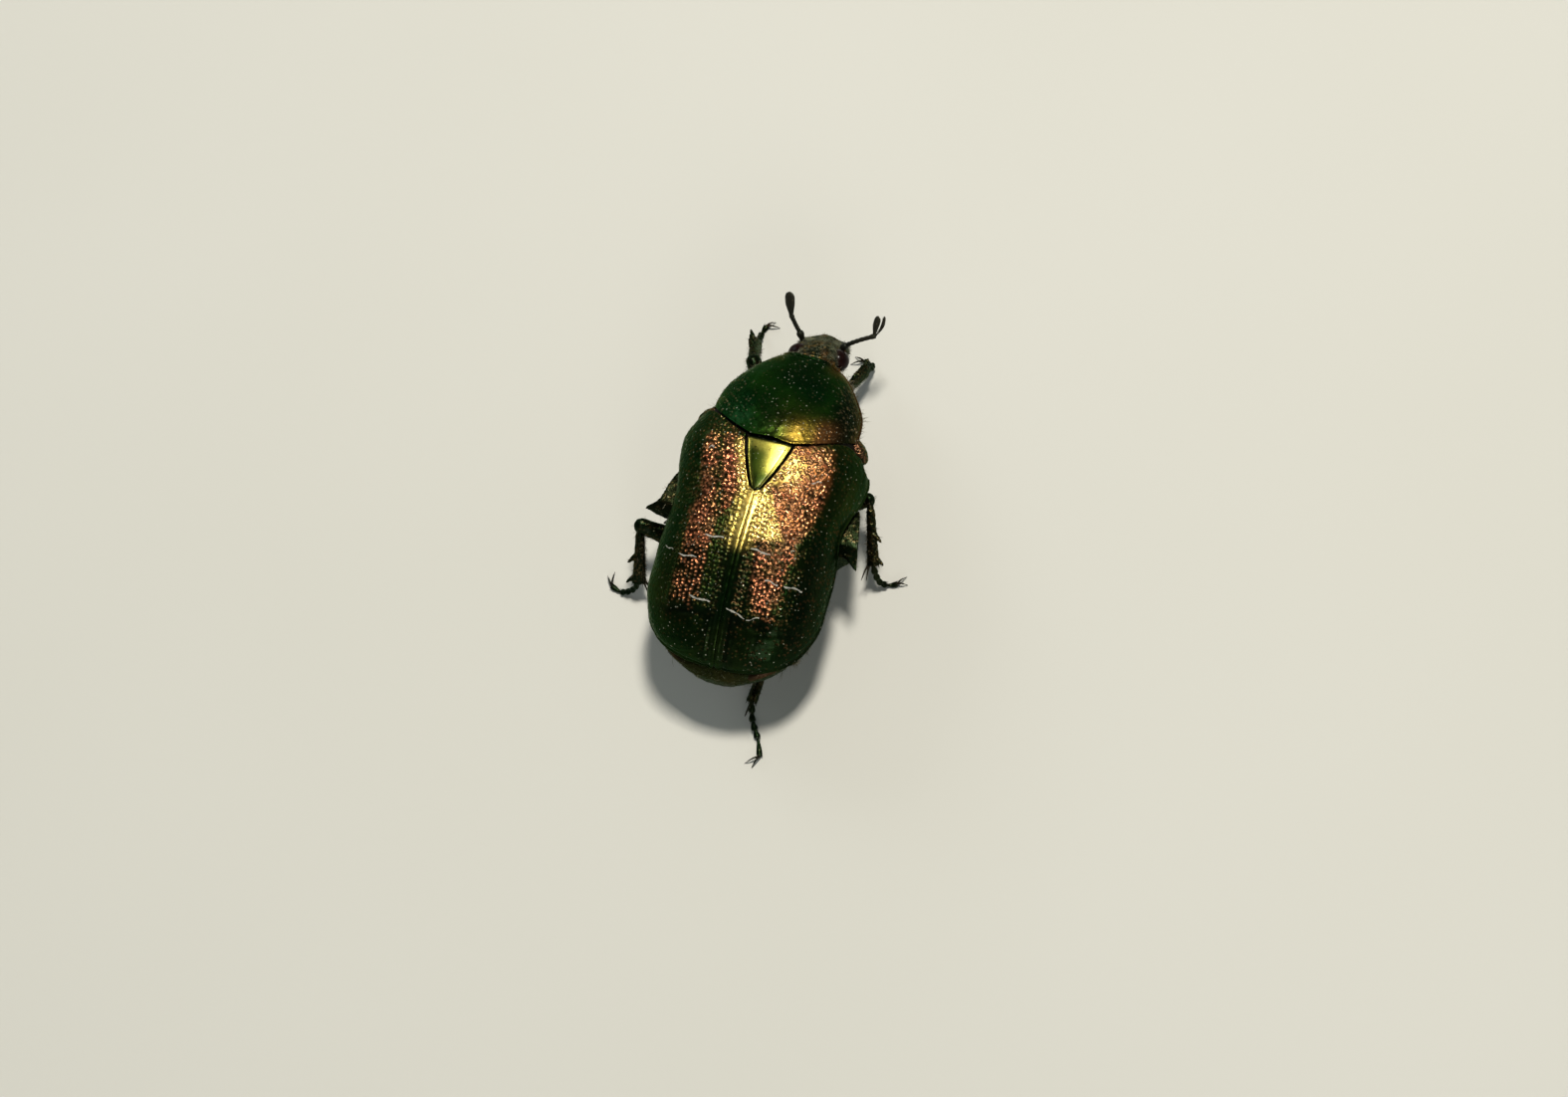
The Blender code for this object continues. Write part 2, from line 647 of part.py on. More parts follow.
def build_body():
    """Thorax, abdomen and pygidium, cut out of one core."""
    core = body_core()
    build_thorax(core)
    back = Vector((0, 1, 0))
    tail_way = Vector((0, math.cos(PYGIDIUM_TILT), math.sin(PYGIDIUM_TILT)))
    abdomen = copied(core, "abdomen")
    cut_by_planes(abdomen, [(Vector((0, THORAX_END_Y + GAP, 0)), -back), (PYGIDIUM_CUT, tail_way)])
    finish_node(abdomen, "dark_cuticle")
    pygidium = cut_by_planes(copied(core, "pygidium"), [(PYGIDIUM_CUT + tail_way * GAP, -tail_way)])
    finish_node(pygidium, "pygidium_bronze")
    bpy.data.objects.remove(core, do_unlink=True)


def prothorax_matrix():
    pivot = Matrix.Translation(PROTHORAX_PIVOT)
    return pivot @ Matrix.Rotation(PROTHORAX_YAW, 4, "Z") @ pivot.inverted()


def prothorax_half(bottom_half, grow=0.0, steps=16):
    """The shield above the side edge of the prothorax, or what lies below it, turned with the prothorax."""
    rings = []
    first = -2.3 if not bottom_half else -3.0
    for y in stations(first, PRONOTUM_HALF_WIDTH[-1][0], 12, crowding=0.4):
        width = value_at(PRONOTUM_HALF_WIDTH, y) + grow - (HALF_GAP if bottom_half else 0.0)
        edge = value_at(PRONOTUM_EDGE, y)
        if bottom_half:
            level, peak = edge - GAP, value_at(PROTHORAX_BOTTOM, y) - grow
            roundness = BELLY_ROUNDNESS
        else:
            level, peak = edge, value_at(PRONOTUM_TOP, y) + grow
            roundness = PRONOTUM_ROUNDNESS
        ring = [Vector((x, y, z)) for x, z in half_ring(width, level, peak, roundness, steps)]
        rings.append([prothorax_matrix() @ point for point in ring])
    return loft(rings)


def build_prothorax():
    for name, bottom_half, steps, colour in (
        ("pronotum", False, 20, "metallic_green"),
        ("prosternum", True, 12, "dark_cuticle"),
    ):
        obj = new_object(name, prothorax_half(bottom_half, steps=steps))
        boolean(obj, new_object("behind", prism(turned(behind(PRONOTUM_BASE, 0.0)), 0.0, 12.0)), "DIFFERENCE")
        for side in (1, -1):
            boolean(obj, new_object("room", eyeball(side, GAP)), "DIFFERENCE")
        finish_node(obj, colour)


def head_matrix():
    turn = Matrix.Rotation(HEAD_YAW, 4, "Z") @ Matrix.Rotation(HEAD_PITCH, 4, "X")
    return Matrix.Translation(HEAD_ORIGIN) @ turn


def head_solid(grow, steps=20):
    """The head and clypeus, in place. Its own axis runs along -Y from the neck."""
    rings = []
    for distance, width, rise, drop, roundness in HEAD_RINGS:
        upper = half_ring(width + grow, 0.0, rise + grow, roundness, steps // 2)
        lower = half_ring(width + grow, 0.0, -drop - grow, roundness, steps // 2)
        ring = upper + lower[::-1][1:-1]
        rings.append([Vector((x, -distance - grow * (distance > 2.5), z)) for x, z in ring])
    bm = loft(rings)
    bmesh.ops.transform(bm, matrix=head_matrix(), verts=bm.verts)
    return bm


def palp(side):
    """A maxillary palp: three joints that hang from the side of the mouth."""
    path = curve_points([side_vector(point, side) for point in PALP_LINE], len(PALP_SWELL) - 1)
    sizes = [(PALP_RADIUS * swell,) * 2 for swell in PALP_SWELL]
    bm = limb(path, sizes, Vector((1, 0, 0)), sides=8)
    bmesh.ops.transform(bm, matrix=head_matrix(), verts=bm.verts)
    return bm


def eyeball(side, grow):
    """An eye, grown by grow."""
    centre = head_matrix() @ side_vector(EYE_CENTRE, side)
    return ball(centre, EYE_RADII + Vector((grow, grow, grow)), head_matrix().to_3x3().to_4x4())


def build_head():
    """The head with its palps and the notch of its front edge, and the two eyes in their sockets."""
    head = new_object("head", head_solid(0.0))
    fuse(head, [new_object("palp", palp(side)) for side in (1, -1)])
    tip = head_matrix() @ Vector((0.0, -HEAD_RINGS[-1][0] - 0.12, 0.3))
    notch = new_object("notch", ball(tip, Vector((CLYPEUS_NOTCH_RADIUS,) * 3), segments=10, rings=6))
    boolean(head, notch, "DIFFERENCE")
    cut_by_planes(head, [(Vector((0, PRONOTUM_HALF_WIDTH[-1][0] - GAP, 0)), Vector((0, 1, 0)))])
    for side in (1, -1):
        boolean(head, new_object("socket", eyeball(side, GAP)), "DIFFERENCE")
    finish_node(head, "dark_cuticle")
    for name, side in (("eye_left", 1), ("eye_right", -1)):
        finish_node(new_object(name, eyeball(side, 0.0)), "eye_brown")


def leaf(root, tip, breadth, thickness):
    """A leaf of the antennal club: a flat blade, widest past its middle."""
    path = [Vector(root).lerp(Vector(tip), share) for share, _, _ in LEAF_FORM]
    sizes = [(breadth * across, thickness * deep) for _, across, deep in LEAF_FORM]
    return limb(path, sizes, LEAF_FACING, sides=8)


def build_antennae():
    """The stalk and the club of leaves of each antenna: closed on the left, open on the right."""
    for name, form in ANTENNAE.items():
        path = curve_points([Vector(point) for point in form["stalk"]], len(ANTENNA_SWELL) - 1)
        sizes = [(ANTENNA_RADIUS * swell,) * 2 for swell in ANTENNA_SWELL]
        antenna = new_object(name, limb(path, sizes, Vector((0, 0, 1)), sides=8))
        fuse(antenna, [new_object("leaf", leaf(*sizes)) for sizes in form["leaves"]])
        boolean(antenna, new_object("clearance", head_solid(GAP)), "DIFFERENCE")
        for side in (1, -1):
            boolean(antenna, new_object("room", eyeball(side, GAP)), "DIFFERENCE")
        finish_node(antenna, "dark_cuticle")


def tibia_solid(form, knee, ankle, bend, name):
    """A widening shin with the teeth of its outer edge and the spurs at its end."""
    along = (ankle - knee).normalized()
    outward = along.cross(bend).normalized()
    shin = new_object(name, tibia_limb(form, knee, ankle, bend, 0.0))
    thorns = []
    for share in TIBIA_TEETH[form]:
        half = tibia_size(form, share)[0]
        root = knee.lerp(ankle, share - 0.06) + outward * half * 0.35
        tip = knee.lerp(ankle, share + 0.05) + outward * (half + TOOTH_HEIGHT[form])
        thorns.append(new_object("tooth", spike(root, tip, 0.2)))
    end = tibia_size(form, 1.0)[0]
    for k in range(1 if form == "fore" else 2):
        root = knee.lerp(ankle, 0.93) - outward * end * (0.45 + 0.2 * k)
        tip = ankle + along * SPUR_LENGTH[form] - outward * (end + 0.15 + 0.3 * k)
        thorns.append(new_object("spur", spike(root, tip, SPUR_RADIUS)))
    return fuse(shin, thorns)


def claw(end, before, tip):
    """A claw that arches from the end of a tarsus down to its tip."""
    path = curve_points([end.lerp(before, 0.7), end.lerp(tip, 0.45) + CLAW_ARCH, tip], 4)
    radii = [CLAW_RADIUS + (CLAW_TIP_RADIUS - CLAW_RADIUS) * k / 4 for k in range(5)]
    return new_object("claw", limb(path, [(r, r) for r in radii], Vector((0, 0, 1)), sides=6))


def tarsus_solid(line, claw_tips, plane_normal, name):
    """Five joints that swell towards their ends, and two hooked claws."""
    count = TARSOMERES * 2
    path = curve_points(line, count)
    swells = [0.97 if i == 0 or i % 2 else 1.12 for i in range(count + 1)]
    sizes = [(TARSUS_RADIUS * swell,) * 2 for swell in swells]
    foot = new_object(name, limb(path, sizes, plane_normal, sides=8))
    return fuse(foot, [claw(path[-1], path[-2], tip) for tip in claw_tips])


def coxal_skin():
    """The outside of the hind coxae: the belly thickened, with its upper rim flared out towards the corner."""
    rings = []
    for y in stations(-1.2, 2.6, 7):
        width = value_at(COXAL_HALF_WIDTH, y)
        flare = value_at(COXAL_FLARE, y)
        bottom = value_at(BODY_BOTTOM, y) - GAP - COXAL_PLATE_THICKNESS
        flank = value_at(ELYTRA_EDGE, y) - MARGIN_TO_FLANK
        ring = []
        for x, z in half_ring(width, flank, bottom, BELLY_ROUNDNESS, 20):
            ring.append(Vector((x + math.copysign(flare * abs(x / width) ** 14, x), y, z)))
        rings.append(ring)
    return loft(rings)


def coxal_plate(side):
    """The broad hind coxa: a plate on the flank whose pointed corner shows beside the elytron."""
    outline = [(side * x, y) for x, y in COXAL_PLATE]
    plate = new_object("plate", prism(outline, 0.5, 7.0))
    return boolean(plate, new_object("skin", coxal_skin()), "INTERSECT")


def femur_limb(root, knee, sizes, bend, grow):
    """A thigh from root to knee with rounded ends, thickest past its root."""
    shares = (0.0, 0.18, 0.4, 0.62, 0.84, 1.0)
    first, middle, last = sizes
    mixed = tuple(0.7 * a + 0.3 * b for a, b in zip(middle, last))
    grown = [(a + grow, b + grow) for a, b in (first, middle, middle, middle, mixed, last)]
    return limb([root.lerp(knee, t) for t in shares], grown, bend, round_start=True, round_end=True)


def tibia_size(form, share):
    """Half breadth and half thickness of a shin at a share of its length."""
    root_size, end_size = LEG_FORMS[form]["tibia"]
    s = max(share, 0.0) ** 1.3
    return tuple(a + (b - a) * s for a, b in zip(root_size, end_size))


def tibia_limb(form, knee, ankle, bend, grow):
    """A shin whose root is set a little below the knee, inside the hollow end of the thigh."""
    shares = (0.11, 0.25, 0.45, 0.65, 0.9, 1.0)
    sizes = [tuple(v + grow for v in tibia_size(form, t)) for t in shares]
    return limb([knee.lerp(ankle, t) for t in shares], sizes, bend, round_start=True)


def coxa_solid(form, radius, hip, root, bend, side, name):
    """The joint that carries the thigh. The hind one spreads into the broad plate on the flank."""
    end = root + (root - hip).normalized() * radius
    sizes = [(radius * swell,) * 2 for swell in (1.0, 1.05, 0.8, 0.6)]
    coxa = new_object(name, limb([hip, hip.lerp(root, 0.5), root, end], sizes, bend))
    return fuse(coxa, [coxal_plate(side)]) if form == "hind" else coxa


def build_leg(leg):
    """Coxa, femur, tibia and tarsus of one leg, each with room for the next."""
    side, form = leg["side"], leg["form"]
    sizes = LEG_FORMS[form]
    hip, root, knee, ankle = (side_vector(point, side) for point in leg["joints"])
    tarsus_line = [side_vector(point, side) for point in leg["tarsus"]]
    claw_tips = [side_vector(point, side) for point in leg["claws"]]
    bend = (knee - root).cross(ankle - knee).normalized()
    pair = form + ("_left" if side == 1 else "_right")

    coxa = coxa_solid(form, sizes["coxa"], hip, root, bend, side, f"{pair}_coxa")
    boolean(coxa, new_object("room", femur_limb(root, knee, sizes["femur"], bend, GAP)), "DIFFERENCE")
    for shape in (belly(GAP, 20, with_sternites=False, lift=1.0), prothorax_half(True, GAP)):
        boolean(coxa, new_object("clearance", shape), "DIFFERENCE")

    femur = new_object(f"{pair}_femur", femur_limb(root, knee, sizes["femur"], bend, 0.0))
    boolean(femur, new_object("room", tibia_limb(form, knee, ankle, bend, GAP)), "DIFFERENCE")
    tibia = tibia_solid(form, knee, ankle, bend, f"{pair}_tibia")

    start = ankle + (ankle - knee).normalized() * GAP
    tarsus = tarsus_solid([start, *tarsus_line], claw_tips, Vector((0, 0, 1)), f"{pair}_tarsus")
    ground = prism([(-20, -20), (20, -20), (20, 20), (-20, 20)], -2.0, 0.0)
    boolean(tarsus, new_object("ground", ground), "DIFFERENCE")
    for obj in (coxa, femur, tibia, tarsus):
        finish_node(obj, "dark_cuticle")


def stand_on_origin():
    """Moves the whole model so that the origin is on the floor under the middle of its box."""
    corners = [vert.co for obj in PARTS.objects for vert in obj.data.vertices]
    low = Vector([min(co[i] for co in corners) for i in range(3)])
    high = Vector([max(co[i] for co in corners) for i in range(3)])
    shift = Vector(((low.x + high.x) / 2, (low.y + high.y) / 2, low.z))
    for obj in PARTS.objects:
        obj.data.transform(Matrix.Translation(-shift))


clear_scene()
PARTS = make_collection("rose_chafer")
MATERIALS = make_materials()
build_elytra_and_scutellum()
build_body()
build_prothorax()
build_head()
build_antennae()
for leg_pose in LEGS.values():
    build_leg(leg_pose)
stand_on_origin()
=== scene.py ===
"""Looks of the rose chafer: fine skins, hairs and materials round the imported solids, seen from above.

Shapes are worked out in millimetres in the beetle's own frame: the tip of the scutellum is near x = 0,
y = 0, the head looks along -Y and its left side is at +X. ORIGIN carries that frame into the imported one.
"""

import math

import bpy
import numpy as np
from mathutils import Matrix, Vector, kdtree


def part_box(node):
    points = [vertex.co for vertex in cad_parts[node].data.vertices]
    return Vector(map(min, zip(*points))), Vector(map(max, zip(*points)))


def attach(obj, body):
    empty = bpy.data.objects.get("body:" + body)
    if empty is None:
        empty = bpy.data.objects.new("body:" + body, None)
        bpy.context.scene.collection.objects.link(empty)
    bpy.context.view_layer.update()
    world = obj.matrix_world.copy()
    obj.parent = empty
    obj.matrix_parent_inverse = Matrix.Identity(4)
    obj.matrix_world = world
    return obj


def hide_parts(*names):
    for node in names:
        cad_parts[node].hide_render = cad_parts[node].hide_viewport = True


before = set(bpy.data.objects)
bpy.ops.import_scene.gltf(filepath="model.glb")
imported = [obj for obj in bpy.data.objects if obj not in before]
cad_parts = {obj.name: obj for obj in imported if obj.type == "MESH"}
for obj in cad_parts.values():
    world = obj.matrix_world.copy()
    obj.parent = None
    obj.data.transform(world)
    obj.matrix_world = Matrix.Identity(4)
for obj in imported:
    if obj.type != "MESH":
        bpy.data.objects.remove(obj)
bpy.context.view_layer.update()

MM = 0.001
SCUTELLUM_BASE_Y = -2.5
SCUTELLUM_LOW, SCUTELLUM_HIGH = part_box("scutellum")
ORIGIN = np.array(
    [(SCUTELLUM_LOW.x + SCUTELLUM_HIGH.x) / 2 / MM, SCUTELLUM_LOW.y / MM - SCUTELLUM_BASE_Y, 0.0]
)

# Camera: nearly straight above, leaning to the beetle's right and rear
CAMERA_ROLL = math.radians(12)
CAMERA_PITCH = math.radians(15)
CAMERA_SPIN = math.radians(16.7)
CAMERA_DISTANCE = 280.0
IMAGE_WIDTH_PX = 1575
PX_PER_MM = 20.4
AIM_POINT = Vector((0.0, 0.0, 8.4))
AIM_OFFSET_PX = (28.5, -61.0)
SENSOR_WIDTH = 36.0

# Profiles along the body: pairs of y and a size
ELYTRA_HALF_WIDTH = (
    (-4.2, 3.9), (-3.4, 4.3), (-2.8, 4.65), (-2.1, 4.82), (-1.3, 4.74), (-0.2, 4.45), (0.8, 4.3), (3.2, 4.48),
    (5.2, 4.48), (6.8, 4.02), (7.7, 3.35), (8.2, 2.6), (8.5, 1.7), (8.62, 1.0), (8.66, 0.2),
)
ELYTRA_TOP = (
    (-4.2, 8.1), (-2.5, 8.4), (0.0, 8.5), (3.0, 8.4), (5.5, 7.85), (7.3, 7.05), (8.5, 6.1), (8.66, 5.7),
)
ELYTRA_EDGE = (
    (-4.2, 5.9), (-2.4, 5.35), (-1.4, 5.3), (-0.4, 5.75), (0.8, 5.85),
    (2.0, 5.4), (3.4, 5.2), (6.0, 5.1), (8.0, 5.3), (8.66, 5.5),
)
BODY_HALF_WIDTH = (
    (-4.4, 3.2), (-3.0, 4.0), (-1.7, 4.2), (-1.0, 3.8), (-0.6, 3.7), (2.3, 3.7), (3.0, 4.1), (4.4, 4.2),
    (5.6, 4.1), (6.8, 3.75), (7.7, 3.2), (8.3, 2.55), (8.75, 1.75), (9.0, 1.05),
)
BODY_BOTTOM = (
    (-4.4, 2.9), (-3.0, 2.4), (-1.0, 2.05), (1.0, 2.0), (3.0, 2.15), (5.0, 2.4), (7.0, 2.8), (8.3, 3.3),
    (9.0, 3.9),
)
BODY_REAR_TOP = ((-4.4, 6.0), (7.4, 6.0), (8.0, 5.0), (8.6, 4.9), (9.0, 4.6))
PRONOTUM_HALF_WIDTH = (
    (-7.95, 1.4), (-7.4, 2.1), (-6.9, 2.58), (-6.5, 2.9), (-6.0, 3.25), (-5.4, 3.54), (-4.8, 3.68),
    (-4.2, 3.72), (-2.3, 3.65),
)
PRONOTUM_TOP = ((-7.95, 6.15), (-7.2, 6.65), (-6.0, 7.35), (-4.6, 7.95), (-3.4, 8.25), (-2.3, 8.35))
PRONOTUM_EDGE = ((-7.95, 5.2), (-7.0, 5.3), (-5.5, 5.6), (-4.0, 6.05), (-2.3, 6.25))
PROTHORAX_BOTTOM = ((-7.95, 4.35), (-7.2, 3.85), (-6.0, 3.3), (-4.6, 3.1), (-3.4, 3.4))

# The base line of the elytra and of the pronotum seen from above: pairs of x and y
ELYTRA_BASE = ((0.0, -2.6), (1.2, -2.6), (2.2, -2.93), (3.1, -3.4), (3.7, -3.56), (4.3, -3.26), (4.7, -2.7))
PRONOTUM_BASE = ((0.0, -2.82), (0.9, -2.72), (1.8, -2.97), (2.8, -3.42), (3.4, -3.82), (3.8, -4.17))

# Exponents of the sections: 2 is an ellipse, more is squarer
DOME_ROUNDNESS = 2.5
BELLY_ROUNDNESS = 2.0
PRONOTUM_ROUNDNESS = 2.2
MARGIN_TO_FLANK = 0.3
PROTHORAX_YAW = math.radians(-2)
PROTHORAX_PIVOT = np.array((0.0, -3.3, 0.0))

# How plates curl at their edges: pairs of a way out and a way down
EDGE_ROLL = ((0.02, 0.012), (0.032, 0.04), (0.03, 0.09), (0.0, 0.2), (-0.12, 0.3))
DECK_ROLL = ((0.08, 0.0), (0.2, 0.05), (0.28, 0.2), (0.3, 0.8), (0.4, 2.4))
BREAST_ROLL = ((0.03, 0.01), (0.05, 0.08), (0.03, 0.3), (0.0, 0.8))


# Curves and noise
def profile(table, where):
    """Sizes at many places, on a monotone cubic through the table's points."""
    places, sizes = np.array(sorted(table), dtype=float).T
    where = np.clip(where, places[0], places[-1])
    steps = np.diff(sizes) / np.diff(places)
    before, after = steps[:-1], steps[1:]
    total = np.where(before + after == 0, 1.0, before + after)
    inner = np.where(before * after <= 0, 0.0, 2 * before * after / total)
    slopes = np.concatenate(([steps[0]], inner, [steps[-1]]))
    i = np.clip(np.searchsorted(places, where) - 1, 0, len(steps) - 1)
    span = places[i + 1] - places[i]
    t = (where - places[i]) / span
    bend = t * (1 - t) ** 2 * slopes[i] - t * t * (1 - t) * slopes[i + 1]
    return sizes[i] + (sizes[i + 1] - sizes[i]) * (3 - 2 * t) * t * t + bend * span


def bump(where, centre, reach):
    """A soft hump of height 1 at centre."""
    return np.exp(-(((where - centre) / reach) ** 2))


def ramp(where, start, end):
    """Rises smoothly from 0 at start to 1 at end."""
    t = np.clip((where - start) / (end - start), 0.0, 1.0)
    return t * t * (3 - 2 * t)


def unit(vectors):
    length = np.linalg.norm(vectors, axis=-1, keepdims=True)
    return vectors / np.maximum(length, 1e-12)


def rounded(values, roundness):
    """Cosines or sines of the angles round a section, bent to its roundness."""
    return np.sign(values) * np.abs(values) ** (2 / roundness)


def ripple(points, size, seed, waves=9):
    """Smooth uneven noise of about -1 to 1 that varies over the given size."""
    chance = np.random.default_rng(seed)
    total = 0.0
    for _ in range(waves):
        way = unit(chance.normal(size=3)) * chance.uniform(0.6, 1.6) * 2 * math.pi / size
        total = total + np.sin(points @ way + chance.uniform(0, 2 * math.pi))
    return total / math.sqrt(waves) / 1.2


# Grids of points and the pieces made of them
def normals_of(grid, outward, wrap=False):
    """Unit normals of a grid of points, turned to the side that outward says (+1 or -1)."""
    along = np.gradient(grid, axis=0)
    across = np.roll(grid, -1, 1) - np.roll(grid, 1, 1) if wrap else np.gradient(grid, axis=1)
    return unit(np.cross(across, along)) * outward


def half_rings(first, last, rows, columns):
    """The y of rows along the body, and the angles of columns from its left flank round to the right."""
    angle = np.linspace(0.0, math.pi, columns)[None, :]
    return np.linspace(first, last, rows)[:, None] + 0 * angle, angle


def shares(steps):
    return np.linspace(0.0, 1.0, steps + 1)


def rolled(grid, normals, edge_profile):
    """Adds rows round a grid that roll its edges over and under."""
    count = len(edge_profile)
    for axis in (0, 1):
        g, n = np.moveaxis(grid, axis, 0), np.moveaxis(normals, axis, 0)
        first, last = unit(g[0] - g[1]), unit(g[-1] - g[-2])
        before = [g[0] + first * out - n[0] * down for out, down in reversed(edge_profile)]
        after = [g[-1] + last * out - n[-1] * down for out, down in edge_profile]
        grid = np.moveaxis(np.concatenate((before, g, after)), 0, axis)
        padding = [(0, 0)] * 3
        padding[axis] = (count, count)
        normals = np.pad(normals, padding, mode="edge")
    return grid


def padded(values, edge_profile=EDGE_ROLL):
    """Shares from 0 to 1 on a grid, carried out over its rolled edges."""
    return np.clip(np.pad(values, len(edge_profile), mode="edge"), 0.0, 1.0)


def rimmed(values):
    """The values with the rolled rim round them set to full. On a shade band this paints shade on the rims,
    which darkens the seams.
    """
    rim = len(EDGE_ROLL) - 1
    values[:rim] = values[-rim:] = 1.0
    values[:, :rim] = values[:, -rim:] = 1.0
    return values


def grid_faces(rows, columns, wrap=False):
    index = np.arange(rows * columns).reshape(rows, columns)
    after = np.roll(index, -1, 1) if wrap else index[:, 1:]
    index = index if wrap else index[:, :-1]
    return np.stack((index[:-1], after[:-1], after[1:], index[1:]), axis=-1).reshape(-1, 4).tolist()


def grid_uv(rows, columns):
    v, u = np.meshgrid(np.linspace(0.01, 0.99, rows), np.linspace(0.01, 0.99, columns), indexing="ij")
    return np.stack((u, v), axis=-1)


def arc_lengths(grid):
    steps = np.linalg.norm(np.diff(grid, axis=1), axis=2)
    return np.concatenate((np.zeros((len(grid), 1)), np.cumsum(steps, axis=1)), axis=1)


def faces_inward(mesh):
    """Whether the faces of a mesh that bulges away from its middle look inward."""
    count = len(mesh.polygons)
    centres, normals, areas = np.empty(count * 3), np.empty(count * 3), np.empty(count)
    mesh.polygons.foreach_get("center", centres)
    mesh.polygons.foreach_get("normal", normals)
    mesh.polygons.foreach_get("area", areas)
    centres, normals = centres.reshape(-1, 3), normals.reshape(-1, 3)
    middle = np.average(centres, axis=0, weights=areas)
    return np.sum(areas[:, None] * (centres - middle) * normals) < 0


def add_piece(name, points, faces, material, nodes=(), slot="dark_cuticle", attributes=None, uv=None):
    """A piece of the model from points in millimetres, riding on the body and standing for CAD nodes."""
    mesh = bpy.data.meshes.new(name)
    placed = (points.reshape(-1, 3) + ORIGIN) * MM
    mesh.from_pydata(placed.tolist(), [], faces)
    if faces_inward(mesh):
        mesh.flip_normals()
    for key, values in (attributes or {}).items():
        layer = mesh.attributes.new(key, "FLOAT", "POINT")
        layer.data.foreach_set("value", np.ascontiguousarray(values, dtype=np.float32).ravel())
    if uv is not None:
        corners = np.empty(len(mesh.loops), dtype=np.int32)
        mesh.loops.foreach_get("vertex_index", corners)
        layer = mesh.uv_layers.new(name="OFBake")
        layer.data.foreach_set("uv", uv.reshape(-1, 2)[corners].astype(np.float32).ravel())
    mesh.materials.append(MATERIALS[material])
    mesh.shade_smooth()
    mesh.update()
    obj = bpy.data.objects.new(name, mesh)
    bpy.context.scene.collection.objects.link(obj)
    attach(obj, "root")
    if nodes:
        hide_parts(*nodes)


def add_sheet(name, grid, material, nodes=(), slot="dark_cuticle", attributes=None):
    """A piece from a grid of points, with faces and a bake map laid over its rows and columns."""
    size = grid.shape[:2]
    add_piece(name, grid, grid_faces(*size), material, nodes, slot, attributes, grid_uv(*size))


def skin_of(points, normals, **more):
    """What the hairs need to know of a grid: its points, normals and bake map."""
    return {"points": points, "normals": normals, "uv": grid_uv(*points.shape[:2]), **more}


# Pits
def pits(points, normals, centres, radii, depths, crescents, painted_glint=None):
    """Presses small pits into points. A crescent is open to the rear. Returns the points and a mask of the
    pits, each pit as strong as its painted glint.
    """
    flat = points.reshape(-1, 3)
    tree = kdtree.KDTree(len(flat))
    for index, point in enumerate(flat.tolist()):
        tree.insert(point, index)
    tree.balance()
    drop = np.zeros(len(flat))
    mask = np.zeros(len(flat))
    painted_glint = np.ones(len(centres)) if painted_glint is None else painted_glint
    for centre, radius, depth, crescent, glint in zip(centres, radii, depths, crescents, painted_glint):
        near = tree.find_range(centre.tolist(), radius * (2.0 if crescent else 2.3))
        if not near:
            continue
        index = np.fromiter((item[1] for item in near), dtype=np.int64, count=len(near))
        offset = flat[index] - centre
        distance = np.linalg.norm(offset, axis=1)
        rho = distance / radius
        if crescent:
            facing = -offset[:, 1] / np.maximum(distance, 1e-9)
            groove = bump(rho, 1.0, 0.38) * ramp(facing, -0.5, 0.3)
            heap = 0.35 * bump(rho, 0.0, 0.7)
        else:
            groove = bump(rho, 0.0, 0.78)
            heap = 0.06 * bump(rho, 1.6, 0.4)
        drop[index] += depth * (heap - groove)
        mask[index] = np.maximum(mask[index], glint * np.minimum(1.35 * groove, 1.0))
    shape = points.shape[:-1]
    return points + normals * drop.reshape(shape + (1,)), mask.reshape(shape)


def lattice(arc, y_rows, spacing_across, spacing_along, chance):
    """Row and column indices of a jittered lattice laid over a grid by its arc lengths."""
    picked = []
    for k in range(int(arc.max() / spacing_across)):
        for along in np.arange(y_rows.min(), y_rows.max(), spacing_along):
            a = (k + 0.5 + chance.uniform(-0.2, 0.2)) * spacing_across
            b = along + chance.uniform(-0.22, 0.22) * spacing_along + (k % 2) * spacing_along / 2
            column = 0
            for _ in range(2):
                row = int(np.argmin(np.abs(y_rows[:, column] - b)))
                column = int(np.searchsorted(arc[row], a))
                column = min(column, arc.shape[1] - 1)
            if arc[row, -1] > a and abs(y_rows[row, column] - b) < spacing_along:
                picked.append((row, column))
    return np.array(picked).T


def scattered_pits(grid, normals, seed, margin, steps, share, radii, depth, crescents=0.0, scale=1.0):
    """About evenly spread pits, some grid steps apart and kept at a share of the places."""
    chance = np.random.default_rng(seed)
    shape = grid.shape[:2]
    rows = np.arange(margin, shape[0] - margin, steps[0])
    columns = np.arange(margin, shape[1] - margin, steps[1])
    r, c = (v.ravel() for v in np.meshgrid(rows, columns, indexing="ij"))
    r = r + (chance.uniform(-0.4, 0.4, len(r)) * steps[0]).astype(int)
    c = c + (chance.uniform(-0.4, 0.4, len(c)) * steps[1]).astype(int)
    r, c = np.clip(r, 0, shape[0] - 1), np.clip(c, 0, shape[1] - 1)
    keep = chance.uniform(size=len(r)) < np.broadcast_to(share, shape)[r, c]
    r, c = r[keep], c[keep]
    sizes = np.broadcast_to(scale, shape)[r, c] * chance.uniform(*radii, len(r))
    hooked = chance.uniform(size=len(r)) < crescents
    return pits(grid, normals, grid[r, c], sizes, depth * sizes, hooked)


def pitted(points, normals, seed, count, radii, depth=0.4, crescents=0.3, rareness=0):
    """Small pits at random points of a skin. The higher the rareness, the fewer of them get a strong painted
    glint.
    """
    chance = np.random.default_rng(seed)
    picked = chance.choice(len(points), size=min(count, len(points)), replace=False)
    sizes = chance.uniform(*radii, len(picked))
    hooked = chance.uniform(size=len(picked)) < crescents
    painted_glint = chance.uniform(size=len(picked)) ** rareness
    return pits(points, normals, points[picked], sizes, depth * sizes, hooked, painted_glint)


